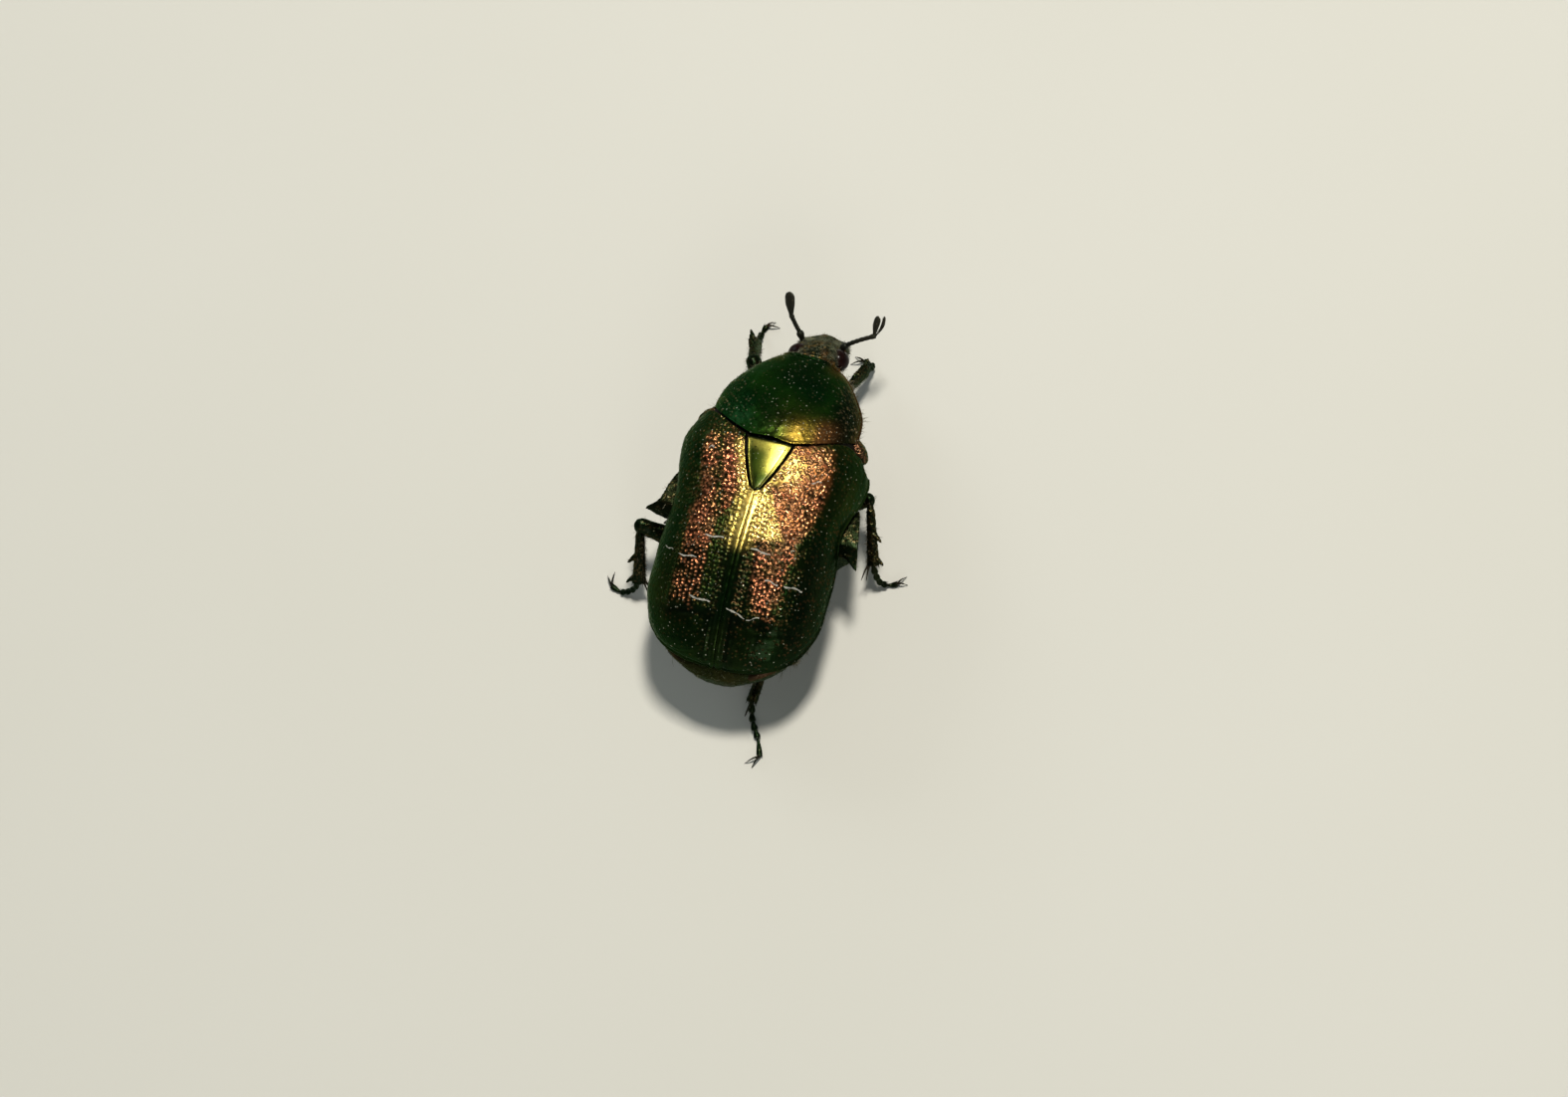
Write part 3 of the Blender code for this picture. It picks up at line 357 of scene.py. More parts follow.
# Shader nodes. Scales count features per millimetre
def add_node(tree, kind, inputs=None, **settings):
    node = tree.nodes.new(kind)
    for key, value in settings.items():
        setattr(node, key, value)
    for key, value in (inputs or {}).items():
        if isinstance(value, bpy.types.NodeSocket):
            tree.links.new(value, node.inputs[key])
        else:
            node.inputs[key].default_value = value
    return node


def mix(tree, factor, first, second, blend="MIX"):
    """A colour between two, each a socket or red, green and blue."""
    first, second = (v if isinstance(v, bpy.types.NodeSocket) else (*v, 1.0) for v in (first, second))
    inputs = {0: factor, 6: first, 7: second}
    return add_node(tree, "ShaderNodeMix", inputs, data_type="RGBA", blend_type=blend).outputs[2]


def mix_value(tree, factor, first, second):
    return add_node(tree, "ShaderNodeMix", {0: factor, 2: first, 3: second}).outputs[0]


def maths(tree, operation, first, second=0.0, third=0.0):
    return add_node(tree, "ShaderNodeMath", {0: first, 1: second, 2: third}, operation=operation).outputs[0]


def spread(tree, value, low, high, to_low=0.0, to_high=1.0):
    """The value stretched from one range to another, and clamped."""
    return add_node(tree, "ShaderNodeMapRange", {0: value, 1: low, 2: high, 3: to_low, 4: to_high}).outputs[0]


def reading(tree, name):
    """The float that the mesh carries under a name."""
    return add_node(tree, "ShaderNodeAttribute", attribute_name=name).outputs["Fac"]


def noise(tree, place, scale, detail=3.0, roughness=0.5):
    inputs = {"Vector": place, "Scale": scale / MM, "Detail": detail, "Roughness": roughness}
    return add_node(tree, "ShaderNodeTexNoise", inputs).outputs["Fac"]


def cells(tree, place, scale):
    return add_node(tree, "ShaderNodeTexVoronoi", {"Vector": place, "Scale": scale / MM}).outputs["Distance"]


def roughen(tree, shader, height, strength, depth, invert=False):
    """Bumps of a depth in millimetres."""
    inputs = {"Strength": strength, "Distance": depth * MM, "Height": height}
    bumped = add_node(tree, "ShaderNodeBump", inputs, invert=invert)
    tree.links.new(bumped.outputs[0], shader.inputs["Normal"])


def new_material(name):
    """A material with its node tree, its shader and the place of each point on the object."""
    material = bpy.data.materials.new(name)
    material.use_nodes = True
    tree = material.node_tree
    place = add_node(tree, "ShaderNodeTexCoord").outputs["Object"]
    return material, tree, tree.nodes["Principled BSDF"], place


# Materials
DARK_GREEN = (0.005, 0.019, 0.003)
OLIVE_GREEN = (0.014, 0.026, 0.004)
PALE_SPECK = (0.4, 0.39, 0.31)
# The tint of painted shade
NEAR_BLACK = (0.004, 0.009, 0.003)
DULL = (0.45, 0.42, 0.36)
CHALK = (0.3, 0.29, 0.26)
EDGE_TINT = (0.4, 0.5, 0.35, 1.0)
# Band tints: the gold one is a painted highlight and the glow a painted light on the right disc; the shade
# bands are painted shade; the pit and ruddy tints are partly the pits' own colour, partly painted glints
ELYTRA_BANDS = {
    "copper": (0.026, 0.007, 0.003), "painted_light": (0.2, 0.07, 0.02), "painted_highlight": (0.6, 0.42, 0.1), "shade": NEAR_BLACK,
    "pit": (1.0, 0.5, 0.2), "ruddy": (0.8, 0.13, 0.09),
}
PRONOTUM_BANDS = {
    "shade": NEAR_BLACK, "copper": (0.2, 0.075, 0.025), "painted_highlight": (0.15, 0.102, 0.014), "pit": (0.5, 0.34, 0.2),
}
SCUTELLUM_BANDS = {"painted_highlight": (0.6, 0.52, 0.1), "shade": NEAR_BLACK}
HEAD_BANDS = {"copper": (0.25, 0.09, 0.03), "pit": (0.6, 0.36, 0.12)}
# Name, two base colours and speck colour, metallic, roughness, bands, and what departs from the usual
CUTICLES = {
    "elytra": (
        "elytra_metal", (DARK_GREEN, OLIVE_GREEN, PALE_SPECK), 0.94, 0.29,
        ELYTRA_BANDS, {"chalk": "mark"},
    ),
    "pronotum": (
        "pronotum_metal", ((0.002, 0.026, 0.004), (0.01, 0.05, 0.004), PALE_SPECK), 0.94, 0.27,
        PRONOTUM_BANDS, {},
    ),
    "scutellum": (
        "scutellum_metal", ((0.018, 0.036, 0.0035), (0.028, 0.044, 0.0045), PALE_SPECK), 0.94, 0.3,
        SCUTELLUM_BANDS, {"speckle": 0.3},
    ),
    "head": (
        "head_cuticle", ((0.007, 0.015, 0.005), (0.02, 0.022, 0.008), (0.3, 0.25, 0.16)), 0.85, 0.32,
        HEAD_BANDS, {"grain": 0.4},
    ),
    "under": (
        "under_cuticle", ((0.014, 0.022, 0.008), (0.05, 0.024, 0.012), (0.4, 0.26, 0.15)), 0.88, 0.3,
        {"pit": (0.3, 0.13, 0.07)}, {"grain": 0.35},
    ),
    "leg": (
        "leg_cuticle", ((0.004, 0.01, 0.003), (0.009, 0.012, 0.004), (0.2, 0.19, 0.11)), 0.9, 0.27,
        {"pit": (0.08, 0.055, 0.022)}, {"grain": 0.4},
    ),
    "claw": (
        "claw_horn", ((0.008, 0.008, 0.006), (0.026, 0.016, 0.009), (0.1, 0.06, 0.03)), 0.3, 0.28,
        {}, {"grain": 0.2},
    ),
    "antenna": (
        "antenna_horn", ((0.006, 0.006, 0.005), (0.018, 0.015, 0.011), (0.12, 0.09, 0.05)), 0.35, 0.4,
        {}, {"grain": 0.45},
    ),
    "pygidium": (
        "pygidium_bronze", ((0.026, 0.024, 0.005), (0.012, 0.02, 0.004), (0.2, 0.16, 0.08)), 0.85, 0.36,
        {}, {"grain": 0.5},
    ),
    "membrane": (
        "membrane", ((0.003, 0.003, 0.002), (0.006, 0.005, 0.004), (0.012, 0.01, 0.008)), 0.0, 0.7,
        {}, {"grain": 0.3, "specular": 0.08, "coat": 0.0},
    ),
}
# Dark and pale colour, and how many patches of them there are in a millimetre
HAIR_COLOURS = {
    "hair_pale": ((0.12, 0.105, 0.065), (0.27, 0.25, 0.18), 5.0),
    "hair_grey": ((0.006, 0.009, 0.004), (0.25, 0.26, 0.16), 3.2),
    "hair_brown": ((0.02, 0.015, 0.007), (0.085, 0.062, 0.034), 5.0),
}
MATERIALS = {}


def cuticle_colour(tree, place, colours, bands, speckle):
    """Two colours in patches, bands (some of them painted highlight, painted light and painted shade), dull
    mottles and pale specks: the colour, and a mask of the specks.
    """
    patches = spread(tree, noise(tree, place, 0.45, 2.0), 0.38, 0.62)
    colour = mix(tree, patches, colours[0], colours[1])
    for attribute, tint in bands.items():
        colour = mix(tree, reading(tree, attribute), colour, tint)
    mottle = spread(tree, noise(tree, place, 12.0, 4.0, 0.6), 0.35, 0.7, 0.0, 0.55)
    colour = mix(tree, mottle, colour, DULL, "MULTIPLY")
    uneven = maths(tree, "MULTIPLY_ADD", noise(tree, place, 1.9, 1.0), -0.24, 0.12)
    specks = spread(tree, maths(tree, "ADD", cells(tree, place, 4.2), uneven), 0.08, 0.14, speckle, 0.0)
    return mix(tree, specks, colour, colours[2]), specks


def chalked(tree, place, attribute, colour, metal, rough):
    """White ragged scaly marks where the mesh attribute says."""
    ragged = maths(tree, "MULTIPLY_ADD", noise(tree, place, 14.0, 3.0), 0.9, -0.45)
    mark = spread(tree, maths(tree, "ADD", reading(tree, attribute), ragged), 0.42, 0.7)
    metal, rough = mix_value(tree, mark, metal, 0.0), mix_value(tree, mark, rough, 0.85)
    return mix(tree, mark, colour, CHALK), metal, rough


def cuticle(name, colours, metallic, roughness, bands, more):
    """Metallic horn with fine dimples, which shines more in its pits, where a band may tint it brighter,
    partly as painted glints.
    """
    material, tree, shader, place = new_material(name)
    colour, specks = cuticle_colour(tree, place, colours, bands, more.get("speckle", 0.6))
    metal = spread(tree, specks, 0.0, 1.0, metallic, 0.0)
    rough = spread(tree, noise(tree, place, 3.0, 4.0), 0.3, 0.7, roughness - 0.05, roughness + 0.08)
    if "pit" in bands:
        rough = mix_value(tree, maths(tree, "MULTIPLY", reading(tree, "pit"), 0.8), rough, 0.12)
    if "chalk" in more:
        colour, metal, rough = chalked(tree, place, more["chalk"], colour, metal, rough)
    for socket, value in (("Base Color", colour), ("Metallic", metal), ("Roughness", rough)):
        tree.links.new(value, shader.inputs[socket])
    shader.inputs["Specular Tint"].default_value = EDGE_TINT
    shader.inputs["Specular IOR Level"].default_value = more.get("specular", 0.5)
    shader.inputs["Coat Weight"].default_value = more.get("coat", 0.03)
    shader.inputs["Coat Roughness"].default_value = 0.15
    dimples = spread(tree, cells(tree, place, 9.0), 0.08, 0.3, 0.0, 0.6)
    height = maths(tree, "ADD", dimples, noise(tree, place, 34.0, 3.0, 0.6))
    roughen(tree, shader, height, more.get("grain", 0.25), 0.02)
    return material


def eye_material():
    """Nearly black maroon facets."""
    material, tree, shader, place = new_material("eye_facets")
    depth = spread(tree, noise(tree, place, 2.2, 2.0), 0.35, 0.65)
    facets = cells(tree, place, 34.0)
    colour = mix(tree, depth, (0.0025, 0.001, 0.001), (0.015, 0.0035, 0.0025))
    colour = mix(tree, spread(tree, facets, 0.2, 0.6, 0.0, 0.55), colour, (0.004, 0.002, 0.002))
    tree.links.new(colour, shader.inputs["Base Color"])
    rough = spread(tree, noise(tree, place, 5.0, 3.0), 0.3, 0.7, 0.16, 0.3)
    tree.links.new(rough, shader.inputs["Roughness"])
    shader.inputs["Specular IOR Level"].default_value = 0.1
    roughen(tree, shader, facets, 0.2, 0.006, invert=True)
    return material


def hair_material(name, dark, pale, patches):
    material, tree, shader, place = new_material(name)
    colour = mix(tree, spread(tree, noise(tree, place, patches, 2.0), 0.4, 0.64), dark, pale)
    tree.links.new(colour, shader.inputs["Base Color"])
    rough = spread(tree, noise(tree, place, 9.0, 2.0), 0.3, 0.7, 0.42, 0.6)
    tree.links.new(rough, shader.inputs["Roughness"])
    shader.inputs["Specular IOR Level"].default_value = 0.3
    roughen(tree, shader, noise(tree, place, 60.0, 1.0), 0.3, 0.004)
    return material


def make_materials():
    for key, settings in CUTICLES.items():
        MATERIALS[key] = cuticle(*settings)
    for key, settings in HAIR_COLOURS.items():
        MATERIALS[key] = hair_material(key, *settings)
    MATERIALS["eye"] = eye_material()


# Elytra
SEAM = 0.025  # half the visible gap between the elytra
ELYTRON_ROWS = 400
ELYTRON_COLUMNS = 190
ELYTRA_END = ELYTRA_HALF_WIDTH[-1][0]
SETTLING_ROUNDS = 14  # rounds in which the points of a base line settle on it
# Broad swells and hollows: x, y, the reach along each, and a height
ELYTRA_RELIEF = (
    (3.45, -1.9, 0.75, 0.9, 0.16), (2.6, 6.3, 0.7, 0.8, 0.16), (0.75, 4.6, 0.42, 2.6, -0.17),
    (3.3, 0.4, 0.8, 1.2, -0.1),
)
# Folds: a height, where, and a reach. Ribs: a height, the y of each fading, x at y = 0, a slant and a reach
SUTURE_FOLDS = ((0.05, 0.14, 0.14), (-0.04, 0.4, 0.11), (0.02, 0.6, 0.1))
ELYTRON_EDGE_FOLDS = ((0.05, 0.06, 0.07), (-0.035, 0.24, 0.09))
ELYTRON_RIBS = (
    (0.055, (1.2, 3.0), (5.6, 6.4), 1.05, 0.02, 0.13), (0.045, (1.6, 3.2), (6.0, 6.9), 2.95, -0.02, 0.16),
)
SCUTELLUM_ROWS, SCUTELLUM_COLUMNS = 90, 80
SCUTELLUM_TIP_Y = 0.05
SCUTELLUM_FRONT_Y = SCUTELLUM_BASE_Y - 0.45
SCUTELLUM_HALF_WIDTH = 1.1
SCUTELLUM_TIP_HALF_WIDTH = 0.12
SCUTELLUM_BULGE = 0.09
SCUTELLUM_GAP = 0.22
SCUTELLUM_PIT_RADIUS = 0.035
SCUTELLUM_PIT_DEPTH = 0.012
# Steps across and along between the pits: rows on the left, spread evenly on the right
ELYTRON_PIT_STEPS = {1: (0.27, 0.205), -1: (0.24, 0.235)}
# Edges of the copper on each side, and on the left the green lane between its rows, by pairs of y and x. The
# copper band is partly the beetle's own copper tinge and partly a painted reflection, its edges set where the
# light falls off
COPPER_OUTER = {
    1: ((-2.6, 3.4), (-1.0, 3.1), (1.2, 2.8), (3.5, 2.85), (5.9, 2.85)),
    -1: ((-2.6, 3.3), (-1.5, 3.6), (1.0, 3.2), (2.5, 2.9), (4.2, 2.65), (6.5, 2.5)),
}
COPPER_INNER = {
    1: ((-2.6, 0.0), (-0.5, 0.3), (1.0, 0.8), (2.2, 1.4), (6.0, 1.35)),
    -1: ((-2.6, 0.0), (0.0, 0.0), (2.3, 0.3), (2.9, 0.75), (5.0, 1.05), (6.8, 1.7)),
}
COPPER_LANE = ((-2.4, 2.5), (-1.65, 2.3), (1.75, 1.42), (2.6, 1.2))
COPPER_FRONT = {1: (-2.7, -1.7), -1: (-3.1, -2.4)}
# White wavy marks of scales on each side: x and y of the two ends, and a half width
WHITE_MARKS = {
    1: (
        (0.88, 2.84, 1.8, 2.9, 0.06), (1.96, 4.06, 2.88, 4.02, 0.055), (0.8, 5.98, 1.8, 5.92, 0.06),
        (3.3, 3.82, 3.78, 3.63, 0.035), (2.7, -1.7, 2.9, -1.6, 0.045),
    ),
    -1: (
        (0.66, 3.04, 1.6, 3.12, 0.06), (1.73, 4.36, 2.35, 4.43, 0.05), (2.68, 4.38, 3.5, 4.32, 0.055),
        (0.2, 6.08, 1.1, 6.35, 0.055), (1.24, 6.42, 1.85, 6.18, 0.035), (2.63, -0.96, 3.0, -1.16, 0.045),
    ),
}


def scutellum_half_width(y):
    t = np.clip((y - SCUTELLUM_BASE_Y) / (SCUTELLUM_TIP_Y - SCUTELLUM_BASE_Y), 0.0, 1.0)
    straight = SCUTELLUM_HALF_WIDTH * (1 - t) + SCUTELLUM_TIP_HALF_WIDTH * t
    return straight + SCUTELLUM_BULGE * np.sin(math.pi * t)


def relief(x, y):
    """Broad swells and hollows of the elytra at a distance x from the middle."""
    return sum(h * bump(x, cx, wx) * bump(y, cy, wy) for cx, cy, wx, wy, h in ELYTRA_RELIEF)


def folds(table, where):
    return sum(height * bump(where, centre, reach) for height, centre, reach in table)


def dome(x, y):
    """Height of the elytra over a point."""
    width, top, edge = (profile(table, y) for table in (ELYTRA_HALF_WIDTH, ELYTRA_TOP, ELYTRA_EDGE))
    share = np.clip(np.abs(x) / width, 0.0, 1.0)
    return edge + (top - edge) * (1 - share**DOME_ROUNDNESS) ** (1 / DOME_ROUNDNESS) + relief(np.abs(x), y)


def elytron_across(y):
    """Distances from the middle and angles round the section for the columns of points at some y."""
    width = profile(ELYTRA_HALF_WIDTH, y)
    beside = scutellum_half_width(y) + SCUTELLUM_GAP
    inner = SEAM + (beside - SEAM) * (1 - ramp(y, SCUTELLUM_TIP_Y - 0.06, SCUTELLUM_TIP_Y + 0.16))
    inner = np.minimum(inner, width * 0.98)
    first = np.arccos(np.clip((inner / width) ** (DOME_ROUNDNESS / 2), 0.0, 1.0))
    angle = first * (1 - np.linspace(0.0, 1.0, ELYTRON_COLUMNS)[None, :])
    return width * rounded(np.cos(angle), DOME_ROUNDNESS), angle


def elytron_base_grid(side):
    """Points of one elytron, from its suture to its margin and from its base to its end."""
    t = np.linspace(0.0, 1.0, ELYTRON_ROWS)[:, None]
    t = t * 0.28 + np.sin(t * math.pi / 2) * 0.72
    front = np.full((1, ELYTRON_COLUMNS), ELYTRA_BASE[0][1])
    for _ in range(SETTLING_ROUNDS):
        x = elytron_across(front)[0]
        front = profile(ELYTRA_BASE, x) + side * math.sin(PROTHORAX_YAW) * np.minimum(x, 3.4)
    y = front + (ELYTRA_END - front) * t
    x, angle = elytron_across(y)
    top, edge = profile(ELYTRA_TOP, y), profile(ELYTRA_EDGE, y)
    z = edge + (top - edge) * rounded(np.sin(angle), DOME_ROUNDNESS) + relief(x, y) * ramp(angle, 0.0, 0.25)
    return np.stack((x * side, y, z), axis=-1)


def elytron_ribs(x, y, margin):
    """Ridges and grooves: the raised suture, two ribs, a bead along the margin, a hollow before the end."""
    height = ramp(y, 0.3, 2.6) * folds(SUTURE_FOLDS, x)
    for rise, front, rear, start, slant, reach in ELYTRON_RIBS:
        fading = ramp(y, *front) * ramp(-y, -rear[1], -rear[0])
        height = height + rise * fading * bump(x, start + slant * y, reach)
    return height - 0.12 * bump(y, 6.62, 0.3) * bump(x, 1.75, 1.0) + folds(ELYTRON_EDGE_FOLDS, margin)


def white_marks(side, x, y):
    """How much of each point lies on one of the ragged white marks."""
    total = np.zeros_like(x)
    for x0, y0, x1, y1, half in WHITE_MARKS[side]:
        t = np.clip((x - x0) / (x1 - x0), 0.0, 1.0)
        centre = y0 + (y1 - y0) * t + 0.035 * np.sin(t * 6.5 + x0 * 5)
        thin = half * (0.45 + 0.55 * np.abs(np.sin(t * 7.0 + y0 * 3)))
        away = np.hypot((y - centre) / thin, np.maximum(np.maximum(x0 - x, x - x1), 0) / half)
        total = np.maximum(total, bump(away, 0.0, 1.0))
    return total


def elytron_painted_highlight(side, x, y):
    """A painted highlight: where the coppery disc is painted golden as if catching the light, beside the
    scutellum and along the suture, wider on the right.
    """
    beside = bump(x, scutellum_half_width(y) + 0.35, 0.28) * ramp(y, -2.5, -1.9) * ramp(-y, -0.6, 0.0)
    suture = bump(x, 0.3, 0.35) * ramp(y, -0.4, 0.4) * ramp(-y, -3.6, -2.4)
    if side > 0:
        return np.maximum(beside, suture)
    patch = bump(x, 1.5, 0.5) * bump(y, -1.4, 0.7)
    disc = ramp(0.8 + 0.55 * y - x, -0.15, 0.25) * ramp(y, -0.3, 0.3) * ramp(-y - 0.23 * x, -2.85, -2.65)
    return np.maximum(np.maximum(0.9 * patch, disc), np.maximum(0.5 * beside, suture))


def copper_bands(side, grid, x, y):
    """How coppery each point of an elytron is, where a painted light brightens the copper, and where painted
    shade darkens it.
    """
    outer = profile(COPPER_OUTER[side], y) + 0.15 * ripple(grid, 2.2, 22)
    inner = profile(COPPER_INNER[side], y) + 0.06 * ripple(grid, 1.3, 25)
    copper = ramp(x - inner, -0.1, 0.25) * ramp(outer - x, -0.2, 0.3) * ramp(y, *COPPER_FRONT[side])
    copper = copper * ramp(-y + 0.55 * ripple(grid, 0.9, 23), -7.1, -5.2)
    copper = copper * (0.85 + 0.25 * ripple(grid, 0.9, 21))
    if side > 0:
        copper = copper * (1 - 0.8 * bump(x, profile(COPPER_LANE, y), 0.2) * ramp(-y, -2.6, -1.6))
        # On the left no painted light, and painted shade on the copper from y = 2.6 back
        return np.clip(copper, 0.0, 1.0), np.zeros_like(x), 0.75 * ramp(y, 2.6, 3.6)
    # On the right a painted light on the front of the disc, and painted shade behind a slanting line near y =
    # 2.8
    uneven = np.clip(0.55 + 0.7 * ripple(grid, 0.8, 26), 0.0, 1.0)
    painted_light = np.clip(0.85 * ramp(x, 0.9, 1.7) * ramp(-y, -2.4, -1.4) * uneven * copper, 0.0, 1.0)
    return np.clip(copper, 0.0, 1.0), painted_light, 0.62 * ramp(y + 0.22 * x, 2.62, 2.95)


def elytron_bands(side, grid, x, y, mask):
    """The colours of an elytron point by point, with the pits that the mask tells of: copper, a painted
    highlight, a painted light, painted shade and the pits' tints with their painted glints.
    """
    copper, painted_light, painted_rear_shade = copper_bands(side, grid, x, y)
    painted_highlight = elytron_painted_highlight(side, x, y)
    # A redder tint of the pits and their painted glints, kept off the painted highlight
    ruddy = 0.4 + 0.35 * ramp(y, 2.6, 3.2) + 0.45 * ripple(grid, 1.1, 24) - 0.8 * painted_highlight
    # Painted shade: a strip beside the suture from y = 2.2, the copper behind the middle, and the hollow
    # before the end
    suture = ramp(y, 2.2, 3.4) * bump(x, 0.55, 0.4)
    shade = painted_rear_shade * copper + 0.9 * bump(x, 1.9, 1.3) * bump(y, 6.6, 0.34)
    # The pits' painted glints shine mostly in the copper and dim in the painted shade
    mask = mask * (0.06 + 0.94 * copper)
    if side > 0:
        ruddy = ruddy + 0.3 * ramp(x, 0.8, 2.0)
        shade = shade + 0.5 * suture
        mask = mask * (1 - 0.65 * painted_rear_shade) * (1 - 0.35 * ramp(y, -1.0, 0.5))
    else:
        # On the right the flank and the end get painted shade too
        flank, end = ramp(x, 2.6, 3.6) * ramp(y, 0.5, 3.0), bump(x, 2.0, 0.9) * ramp(y, 6.8, 7.3)
        shade = shade + 0.8 * suture + 0.75 * flank + 0.6 * end
        mask = mask * (1 - 0.5 * painted_rear_shade)
    ruddy = mask * np.clip(ruddy, 0.0, 0.9)
    return {"copper": copper, "painted_light": painted_light, "painted_highlight": painted_highlight, "shade": shade, "pit": mask, "ruddy": ruddy}


def elytron_pits(side, grid, normals, arc, x, y, marks):
    """Presses the rows of pits in, larger on the disc. Returns the points and a mask of the pits with their
    painted glints.
    """
    chance = np.random.default_rng(5 + side)
    rows, columns = lattice(arc, y, *ELYTRON_PIT_STEPS[side], chance)
    px, py = x[rows, columns], y[rows, columns]
    disc = ramp(-px, -3.5, -2.9) * ramp(-py, -6.7, -6.0)
    keep = ((arc[:, -1:] - arc)[rows, columns] > 0.2) & (marks[rows, columns] < 0.5)
    keep &= px > 0.12 + 0.2 * (py > 0.4)
    keep &= chance.uniform(size=len(rows)) < 0.62 + 0.35 * disc
    rows, columns, px, py, disc = (values[keep] for values in (rows, columns, px, py, disc))
    count = len(rows)
    crescents = chance.uniform(size=count) < 0.2 + 0.3 * (px > 0.9) * (py > -0.5) * (py < 3.5)
    radii = (0.055 + 0.033 * disc) * chance.uniform(0.75, 1.2, count) + 0.012 * crescents
    depths = (0.018 + 0.032 * disc) * chance.uniform(0.8, 1.2, count)
    painted_glint = chance.uniform(0.25, 1.0, count)
    return pits(grid, normals, grid[rows, columns], radii, depths, crescents, painted_glint)


def build_elytron(side, name):
    grid = elytron_base_grid(side)
    normals = normals_of(grid, side)
    arc = arc_lengths(grid)
    x, y = np.abs(grid[..., 0]), grid[..., 1]
    marks = white_marks(side, x, y)
    wrinkle = ramp(x, 3.2, 3.9) * ramp(-y, -6.5, -4.5) * np.sin(y * 26 + 3.0 * ripple(grid, 0.6, 12))
    height = elytron_ribs(x, y, arc[:, -1:] - arc) - 0.012 * marks + 0.005 * wrinkle
    height = height + 0.012 * ripple(grid, 0.9, 3 + side) + 0.006 * ripple(grid, 0.33, 8 + side)
    grid = grid + normals * height[..., None]
    normals = normals_of(grid, side)
    shown, mask = elytron_pits(side, grid, normals, arc, x, y, marks)
    bands = {**elytron_bands(side, grid, x, y, mask), "mark": marks}
    bands = {key: padded(values) for key, values in bands.items()}
    # Painted shade on the rolled rims darkens the seams
    bands["shade"] = rimmed(bands["shade"])
    add_sheet(f"{name}_shell", rolled(shown, normals, EDGE_ROLL), "elytra", (name,), "metallic_copper", bands)


def scutellum_pits(grid, normals):
    """A few pits at the front corners of the scutellum."""
    places = np.random.default_rng(2).uniform((-1.1, -2.6), (1.1, -1.2), size=(90, 2))
    x, y = places[np.abs(places[:, 0]) > 0.35 + 0.4 * (places[:, 1] + 2.6)].T
    count = len(x)
    radii, depths = np.full(count, SCUTELLUM_PIT_RADIUS), np.full(count, SCUTELLUM_PIT_DEPTH)
    return pits(grid, normals, np.stack((x, y, dome(x, y)), axis=-1), radii, depths, np.zeros(count, bool))


def build_scutellum():
    t = np.linspace(0.0, 1.0, SCUTELLUM_ROWS)[:, None]
    s = np.linspace(-1.0, 1.0, SCUTELLUM_COLUMNS)[None, :]
    length = SCUTELLUM_TIP_Y + 0.03 - SCUTELLUM_FRONT_Y
    y = SCUTELLUM_FRONT_Y + length * np.sin(t * math.pi / 2) ** 0.9 + 0 * s
    x = s * scutellum_half_width(y) * (1 - 0.75 * ramp(y, SCUTELLUM_TIP_Y - 0.12, SCUTELLUM_TIP_Y + 0.04))
    z = dome(x, y) + 0.03 * (1 - s**2) - 0.03 * bump(np.abs(s), 0.93, 0.08) - 0.3 * ramp(-y, 2.45, 2.85)
    grid = np.stack((x, y, z), axis=-1)
    normals = normals_of(grid, 1)
    shown, mask = scutellum_pits(grid, normals)
    # Painted highlight on the scutellum's right front and along its edges, less in its pits; painted shade on
    # its lower left, its front drop and its rim
    painted_highlight = 1.1 * bump(x, -0.65 - 0.1 * (y + 1.9), 0.45) * ramp(-y, 0.5, 1.3)
    painted_highlight = painted_highlight + 0.3 * ramp(x, -0.4, 0.0) * ramp(-y, 1.7, 2.3)
    painted_highlight = painted_highlight + 0.2 * bump(np.abs(x) - scutellum_half_width(y), 0.0, 0.1)
    shade = np.maximum(0.55 * ramp(y - 0.9 * x, -1.0, -0.2), ramp(-y, 2.36, 2.55))
    bands = {"painted_highlight": padded(painted_highlight - 0.4 * mask), "shade": rimmed(padded(shade))}
    shown = rolled(shown, normals, EDGE_ROLL)
    add_sheet("scutellum_plate", shown, "scutellum", ("scutellum",), "metallic_green", bands)


# Prothorax
PRONOTUM_ROWS, PRONOTUM_COLUMNS = 200, 320
PRONOTUM_FRONT = PRONOTUM_HALF_WIDTH[0][0]
PRONOTUM_PIT_STEPS = (0.2, 0.215)
PRONOTUM_SIDE_FOLDS = ((0.05, 0.05, 0.07), (-0.04, 0.2, 0.08))
PRONOTUM_FRONT_FOLDS = ((0.035, 0.03, 0.06), (-0.025, 0.16, 0.07))
PROSTERNUM = (-7.9, -3.2, 130, 180)  # first and last y, rows and columns


def turned_prothorax(grid):
    """Turns points of the prothorax about the middle of its base."""
    turn = np.array(Matrix.Rotation(PROTHORAX_YAW, 3, "Z"))
    return (grid - PROTHORAX_PIVOT) @ turn.T + PROTHORAX_PIVOT


def prothorax_ring(y, angle, lower):
    """Points of the prothorax at places along it and angles round it, above or below its side edge."""
    width = profile(PRONOTUM_HALF_WIDTH, y) - 0.03 * lower
    edge = profile(PRONOTUM_EDGE, y) - 0.06 * lower
    peak = profile(PROTHORAX_BOTTOM if lower else PRONOTUM_TOP, y)
    roundness = BELLY_ROUNDNESS if lower else PRONOTUM_ROUNDNESS
    up = np.clip(np.sin(angle), 0.0, 1.0)
    return width * rounded(np.cos(angle), roundness), edge + (peak - edge) * rounded(up, roundness)


